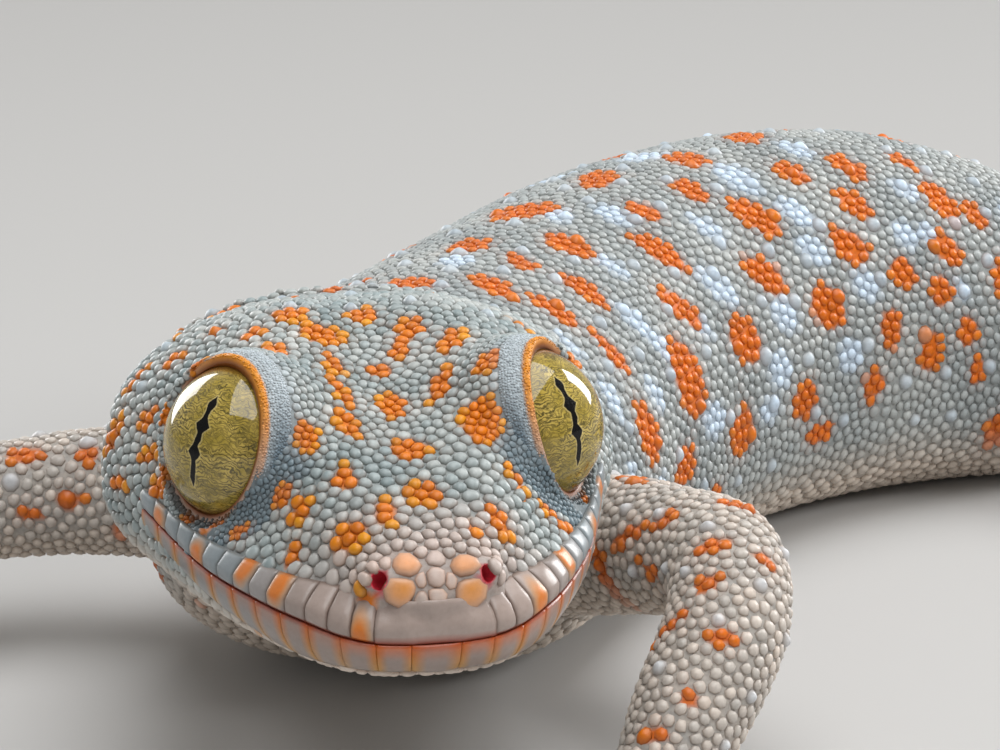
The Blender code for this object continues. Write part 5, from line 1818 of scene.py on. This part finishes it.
def iris_material(looks):
    """A golden olive iris with branching dark veins, round a scalloped upright slit."""
    recipe = Recipe("gecko iris", Coat_Weight=1.0, Coat_Roughness=0.03, Coat_IOR=1.65, Specular_IOR_Level=0.04)
    place = recipe.node("ShaderNodeUVMap", {"uv_map": "gaze"})
    parts = recipe.tree.nodes.new("ShaderNodeSeparateXYZ")
    recipe.tree.links.new(place.socket, parts.inputs[0])
    across, along = Wire(recipe, parts.outputs[0]), Wire(recipe, parts.outputs[1])
    ragged = (recipe.noise(9.0, 3.0, place) - 0.5) * 0.045
    lobes = 0.0
    for height, wide in ((-0.46, 0.020), (-0.14, 0.050), (0.19, 0.062), (0.47, 0.034)):
        lobes = lobes + (1 - abs(along - height) * 11.0).held() * wide
    half = (looks.slit_width + lobes) * (1 - (abs(along) / looks.slit_length).power(6.0)).held()
    away = abs(across + ragged + (recipe.noise(4.0, 1.0, place) - 0.5) * 0.05) - half
    beyond = (abs(along) - looks.slit_length).most(0.0)
    away = away + beyond * 1.5
    warp = recipe.node("ShaderNodeVectorMath", {"operation": "SCALE"},
                       {0: recipe.node("ShaderNodeTexNoise", {}, {"Vector": place, "Scale": 5.0, "Detail": 3.0},
                                       output=1), "Scale": 0.32})
    bent = recipe.node("ShaderNodeVectorMath", {"operation": "ADD"}, {0: place, 1: warp})
    stretched = recipe.node("ShaderNodeVectorMath", {"operation": "MULTIPLY"}, {0: bent, 1: (1.0, 2.5, 1.0)})
    veins = 0.0
    for size, width, strength in ((3.5, 0.05, 0.85), (8.5, 0.12, 0.55)):
        edge = recipe.node("ShaderNodeTexVoronoi", {"feature": "DISTANCE_TO_EDGE"},
                           {"Vector": stretched, "Scale": size})
        line = (1 - edge / width).held() * strength
        veins = line.most(veins)
    wave = recipe.node("ShaderNodeTexWave", {"wave_type": "BANDS", "bands_direction": "Y"},
                       {"Vector": bent, "Scale": 6.0, "Distortion": 5.0, "Detail": 3.0, "Detail Scale": 1.4},
                       output=1)
    veins = veins.most(wave.step(0.62, 0.92) * recipe.noise(2.5, 2.0, place).step(0.25, 0.6) * 0.85)
    cloud = recipe.noise(3.0, 4.0, place)
    iris = recipe.mix(cloud.step(0.3, 0.7), tuple(looks.iris), tuple(looks.iris_light))
    iris = recipe.mix(recipe.noise(42.0, 2.0, place).step(0.5, 0.75) * 0.14, iris, linear(196, 178, 92))
    iris = recipe.mix(veins.held(), iris, linear(54, 48, 10))
    far = (across * across + along * along).power(0.5)
    iris = recipe.mix(far.step(0.86, 1.1), iris, linear(112, 74, 24))
    iris = recipe.mix(far.step(1.12, 1.3), iris, linear(64, 58, 50))
    cream = (1 - away / 0.026).held() * 0.6
    iris = recipe.mix(cream, iris, linear(216, 198, 140))
    pupil = away.step(0.006, -0.004)
    recipe.set("Base Color", recipe.mix(pupil, iris, linear(8, 8, 9)))
    recipe.set("Coat Weight", 1 - pupil * 0.7)
    recipe.set("Roughness", 0.34 + veins.held() * 0.15)
    recipe.bump(veins.held() * -1.0 + cloud * 0.4, 0.35, 0.00008)
    return recipe.material


def build_eyes(looks):
    camera = Camera()
    material = iris_material(looks)
    for side, name in ((-1, "eye_right"), (1, "eye_left")):
        centre = head_to_world([eye_centre(side)])[0]
        axes = gaze_frame(camera, name, side)
        ball = ellipsoid(f"{name}_ball", centre, [EYE_RADIUS] * 3, axes[[1, 2, 0]], 128, 96)
        away = (vertex_array(ball.data) - centre) / EYE_RADIUS
        forward, across, up = away @ axes[0], away @ axes[1], away @ axes[2]
        turn = np.arccos(np.clip(forward, -1, 1))
        flat = np.hypot(across, up) + 1e-9
        set_uv(ball.data, "gaze", np.stack([across, up], 1) * (turn / flat / GAZE_REACH)[:, None])
        outward(ball.data)
        finish(ball, material, (name,))


def strand_tree():
    """Tapered rods along edges: the thickness comes from an attribute."""
    tree, ids, given, result = nodes_tree("rods along edges", {
        "Sides": ("NodeSocketInt", 12), "Material": ("NodeSocketMaterial", None)})
    curve = add_node(tree, "GeometryNodeMeshToCurve", {}, {"Mesh": given.outputs["Geometry"]})
    radius = add_node(tree, "GeometryNodeSetCurveRadius", {}, {"Curve": curve.outputs[0],
                                                              "Radius": named(tree, "thickness", "FLOAT")})
    circle = add_node(tree, "GeometryNodeCurvePrimitiveCircle", {}, {"Resolution": given.outputs["Sides"],
                                                                     "Radius": 1.0})
    rod = add_node(tree, "GeometryNodeCurveToMesh", {}, {
        "Curve": radius.outputs[0], "Profile Curve": circle.outputs[0], "Fill Caps": True,
        "Scale": named(tree, "thickness", "FLOAT")})
    solid = add_node(tree, "GeometryNodeRealizeInstances", {}, {"Geometry": rod.outputs[0]})
    last = add_node(tree, "GeometryNodeSetMaterial", {}, {"Geometry": solid.outputs["Geometry"],
                                                          "Material": given.outputs["Material"]})
    tree.links.new(last.outputs["Geometry"], result.inputs[0])
    return tree, ids


def build_claws(looks):
    """A small hooked claw at the tip of every toe, a shorter one on the first of each hand and foot."""
    steps = 9
    points, edges, thickness = [], [], []
    for name, (_, _, _, toes) in LIMBS.items():
        inner = 0 if name.endswith("left") == name.startswith("arm") else len(toes) - 1
        for toe in range(len(toes)):
            palm, forward, length = toe_path(name, toe)
            root = palm + forward * (length + TOE_ROOT - 1.1)
            root[2] = 1.25
            reach = looks.claw_length / MM * (0.55 if toe == inner else 1.0)
            base = len(points)
            for share in np.linspace(0, 1, steps):
                rise = 0.55 * math.sin(share * math.pi * 0.8) - 0.75 * share ** 2
                points.append(root + forward * (reach + 0.6) * share + [0, 0, rise])
                thickness.append(0.42 * (1 - share) ** 0.75 + 0.035)
            edges += [(base + i, base + i + 1) for i in range(steps - 1)]
    mesh = bpy.data.meshes.new("claws")
    mesh.from_pydata(metres(points).tolist(), edges, [])
    set_number(mesh, "thickness", np.array(thickness) * MM)
    tree, ids = strand_tree()
    material = horn_material()
    piece = grown("claws", mesh, tree, ids, {"Sides": 12, "Material": material})
    outward(piece.data)
    finish(piece, material)


def build_pads(looks):
    """The ridges under each toe's pad, as flat beads across it."""
    points, turns, sizes, colours = [], [], [], []
    for name, (_, _, _, toes) in LIMBS.items():
        for toe in range(len(toes)):
            palm, forward, length = toe_path(name, toe)
            heading = math.atan2(forward[1], forward[0])
            for share in np.linspace(0.42, 0.95, looks.ridges):
                width, _, _ = smooth_rows(TOE_ROWS, share)[0]
                middle = palm + forward * (length * share + TOE_ROOT)
                middle[2] = 0.34
                points.append(middle)
                turns.append((0.0, 0.0, heading))
                sizes.append((0.32, width * 0.97, 0.33))
                colours.append(CREAM * 0.92)
    grow_beads("toe_ridges", np.array(points), turns, sizes, np.array(colours), STATE["scale"], 12, 6)


# Place from the head in metres, width, height, power, and whether it shows in gloss. The strips behind the
# head give the eyes their bright outer rims.
LAMPS = [
    ("top", (0.08, -0.02, 0.72), 1.0, 0.5, 5.0, True),
    ("left strip", (-0.52, 0.70, 0.27), 0.42, 0.52, 3.8, True),
    ("right strip", (0.64, 0.60, 0.36), 0.26, 0.5, 4.2, True),
    ("right", (0.75, -0.15, 0.45), 0.25, 0.25, 2.9, False),
    ("front", (-0.25, -0.75, 0.35), 0.5, 0.5, 0.6, False),
]


def build_stage(looks):
    """A plain pale floor, a pale surround, soft lamps and the photograph's camera."""
    half = looks.floor_size / 2
    corners = [(-half, -half, -0.0002), (half, -half, -0.0002), (half, half, -0.0002), (-half, half, -0.0002)]
    mesh = bpy.data.meshes.new("floor")
    mesh.from_pydata(corners, [], [(0, 1, 2, 3)])
    floor = object_from("floor", mesh)
    floor.data.materials.append(Recipe("floor paper", Base_Color=tuple(looks.floor_colour), Roughness=0.9).material)
    world = bpy.data.worlds.new("studio")
    world.use_nodes = True
    world.node_tree.nodes["Background"].inputs[0].default_value = (1.0, 0.99, 0.97, 1.0)
    world.node_tree.nodes["Background"].inputs[1].default_value = looks.surround
    bpy.context.scene.world = world
    bpy.context.scene.view_settings.view_transform = "Standard"
    target = Vector(metres(HEAD_CENTRE).tolist())
    unlit = bpy.data.collections.new("not lit by the strips")
    unlit.objects.link(floor)
    unlit.collection_objects[0].light_linking.link_state = "EXCLUDE"
    for name, place, wide, tall, power, shows in LAMPS:
        lamp = bpy.data.lights.new(name, "AREA")
        lamp.shape = "RECTANGLE"
        lamp.size, lamp.size_y = wide, tall
        lamp.energy = power * looks.light
        made = bpy.data.objects.new(name, lamp)
        made.location = Vector((target.x, target.y, 0)) + Vector(place)
        made.rotation_euler = (target - made.location).to_track_quat("-Z", "Y").to_euler()
        made.visible_camera = False
        made.visible_glossy = shows
        if "strip" in name:
            # The strips stand low, so they would burn out the floor in front of them.
            made.light_linking.receiver_collection = unlit
        bpy.context.scene.collection.objects.link(made)
    view = Camera()
    lens = bpy.data.cameras.new("camera")
    lens.lens, lens.sensor_width, lens.clip_start, lens.clip_end = LENS, SENSOR, 0.01, 50.0
    camera = bpy.data.objects.new("camera", lens)
    camera.location = metres(view.place)
    camera.rotation_euler = (math.pi / 2 - CAMERA_ELEVATION, 0.0, 0.0)
    bpy.context.scene.collection.objects.link(camera)
    bpy.context.scene.camera = camera


class GeckoSkinLooks(bpy.types.PropertyGroup):
    """Sizes of the skin under the scales."""
    voxel: FloatProperty(name="Fineness", description="Size of the cells that fuse the forms", default=0.00071,
                         min=0.0004, max=0.002, precision=5, unit="LENGTH")
    depth: FloatProperty(name="Scale Depth", description="How deep the skin lies under the scales' tops",
                         default=0.00028, min=0.0, max=0.001, precision=5, unit="LENGTH")


class GeckoScaleLooks(bpy.types.PropertyGroup):
    """Sizes of the scales."""
    head_spacing: FloatProperty(name="Head Spacing", description="Distance between scales on most of the head",
                                default=0.00094, min=0.0005, max=0.003, precision=5, unit="LENGTH")
    trunk_spacing: FloatProperty(name="Trunk Spacing", description="Distance between small scales on the back",
                                 default=0.00100, min=0.0006, max=0.003, precision=5, unit="LENGTH")
    tubercle_spacing: FloatProperty(name="Cone Spacing", description="Distance between the large cone scales",
                                    default=0.0043, min=0.002, max=0.01, precision=5, unit="LENGTH")
    tubercle_height: FloatProperty(name="Cone Height", description="Height of the large cone scales",
                                   default=0.00055, min=0.0002, max=0.002, precision=5, unit="LENGTH")
    tubercle_size: FloatProperty(name="Cone Width", description="Width of the large cone scales", default=0.00165,
                                 min=0.0005, max=0.004, precision=5, unit="LENGTH")


class GeckoEyeLooks(bpy.types.PropertyGroup):
    """Colours of the iris, and the slit's size as shares of the iris."""
    iris: FloatVectorProperty(name="Iris", description="Darker gold of the iris", subtype="COLOR",
                              default=tuple(linear(152, 131, 34)), min=0, max=1)
    iris_light: FloatVectorProperty(name="Light Iris", description="Lighter gold of the iris", subtype="COLOR",
                                    default=tuple(linear(202, 176, 86)), min=0, max=1)
    slit_width: FloatProperty(name="Slit Width", description="Half width of the slit between its scallops",
                              default=0.038, min=0.0, max=0.3, subtype="FACTOR")
    slit_length: FloatProperty(name="Slit Length", description="Half length of the slit", default=0.58,
                               min=0.1, max=1.0, subtype="FACTOR")


class GeckoToeLooks(bpy.types.PropertyGroup):
    """Sizes on the toes."""
    claw_length: FloatProperty(name="Claw Length", description="How far each claw reaches past its toe",
                               default=0.0012, min=0.0002, max=0.003, precision=5, unit="LENGTH")
    ridges: IntProperty(name="Ridges", description="Ridges under each toe's pad", default=11, min=3, max=30)


class GeckoStageLooks(bpy.types.PropertyGroup):
    """The floor and the light."""
    floor_size: FloatProperty(name="Floor Size", description="Width of the floor", default=6.0, min=0.5,
                              unit="LENGTH")
    floor_colour: FloatVectorProperty(name="Floor Colour", description="Colour of the floor", subtype="COLOR",
                                      default=(0.56, 0.555, 0.545), min=0, max=1)
    light: FloatProperty(name="Light", description="Strength of the lamps", default=1.0, min=0.0, soft_max=4.0)
    surround: FloatProperty(name="Surround", description="Strength of the light from all sides", default=0.31,
                            min=0.0, soft_max=3.0)


class GECKO_OT_skin(bpy.types.Operator):
    """Build the skin with its markings, eye openings, nostrils and ears"""
    bl_idname = "gecko.skin"
    bl_label = "Skin"

    def execute(self, context):
        build_skin(context.scene.gecko_skin)
        return {"FINISHED"}


class GECKO_OT_scales(bpy.types.Operator):
    """Cover the skin with scales and cone scales"""
    bl_idname = "gecko.scales"
    bl_label = "Scales"

    def execute(self, context):
        build_scales(context.scene.gecko_scales)
        return {"FINISHED"}


class GECKO_OT_lips(bpy.types.Operator):
    """Set the plates along both lips"""
    bl_idname = "gecko.lips"
    bl_label = "Lip Plates"

    def execute(self, context):
        build_lips()
        return {"FINISHED"}


class GECKO_OT_lids(bpy.types.Operator):
    """Lay the rim round each eye, with its rows of beads"""
    bl_idname = "gecko.lids"
    bl_label = "Lids"

    def execute(self, context):
        build_lids()
        return {"FINISHED"}


class GECKO_OT_eyes(bpy.types.Operator):
    """Set the eyes with their slits turned as in the photograph"""
    bl_idname = "gecko.eyes"
    bl_label = "Eyes"

    def execute(self, context):
        build_eyes(context.scene.gecko_eyes)
        return {"FINISHED"}


class GECKO_OT_toes(bpy.types.Operator):
    """Add the ridges under the toes and the claws"""
    bl_idname = "gecko.toes"
    bl_label = "Toe Ridges and Claws"

    def execute(self, context):
        build_pads(context.scene.gecko_toes)
        build_claws(context.scene.gecko_toes)
        return {"FINISHED"}


class GECKO_OT_stage(bpy.types.Operator):
    """Set the floor, the lamps and the camera"""
    bl_idname = "gecko.stage"
    bl_label = "Stage"

    def execute(self, context):
        build_stage(context.scene.gecko_stage)
        return {"FINISHED"}


class GECKO_PT_looks(bpy.types.Panel):
    """The steps in order, each with its sizes and colours"""
    bl_idname = "GECKO_PT_looks"
    bl_label = "Gecko"
    bl_space_type = "VIEW_3D"
    bl_region_type = "UI"
    bl_category = "Gecko"

    def draw(self, context):
        for step, group in STEPS:
            box = self.layout.box()
            box.operator(step.bl_idname)
            if group:
                owner = getattr(context.scene, group)
                for key in owner.bl_rna.properties.keys():
                    if key not in ("rna_type", "name"):
                        box.prop(owner, key)


STEPS = [(GECKO_OT_skin, "gecko_skin"), (GECKO_OT_scales, "gecko_scales"), (GECKO_OT_lips, None),
         (GECKO_OT_lids, None), (GECKO_OT_eyes, "gecko_eyes"), (GECKO_OT_toes, "gecko_toes"),
         (GECKO_OT_stage, "gecko_stage")]
GROUPS = {"gecko_skin": GeckoSkinLooks, "gecko_scales": GeckoScaleLooks, "gecko_eyes": GeckoEyeLooks,
          "gecko_toes": GeckoToeLooks, "gecko_stage": GeckoStageLooks}


def register():
    for name, group in GROUPS.items():
        bpy.utils.register_class(group)
        setattr(bpy.types.Scene, name, PointerProperty(type=group))
    for step, _ in STEPS:
        bpy.utils.register_class(step)
    bpy.utils.register_class(GECKO_PT_looks)


def unregister():
    bpy.utils.unregister_class(GECKO_PT_looks)
    for step, _ in reversed(STEPS):
        bpy.utils.unregister_class(step)
    for name, group in reversed(GROUPS.items()):
        delattr(bpy.types.Scene, name)
        bpy.utils.unregister_class(group)


def main():
    register()
    bpy.ops.gecko.skin()
    bpy.ops.gecko.scales()
    bpy.ops.gecko.lips()
    bpy.ops.gecko.lids()
    bpy.ops.gecko.eyes()
    bpy.ops.gecko.toes()
    bpy.ops.gecko.stage()


if __name__ == "__main__":
    main()
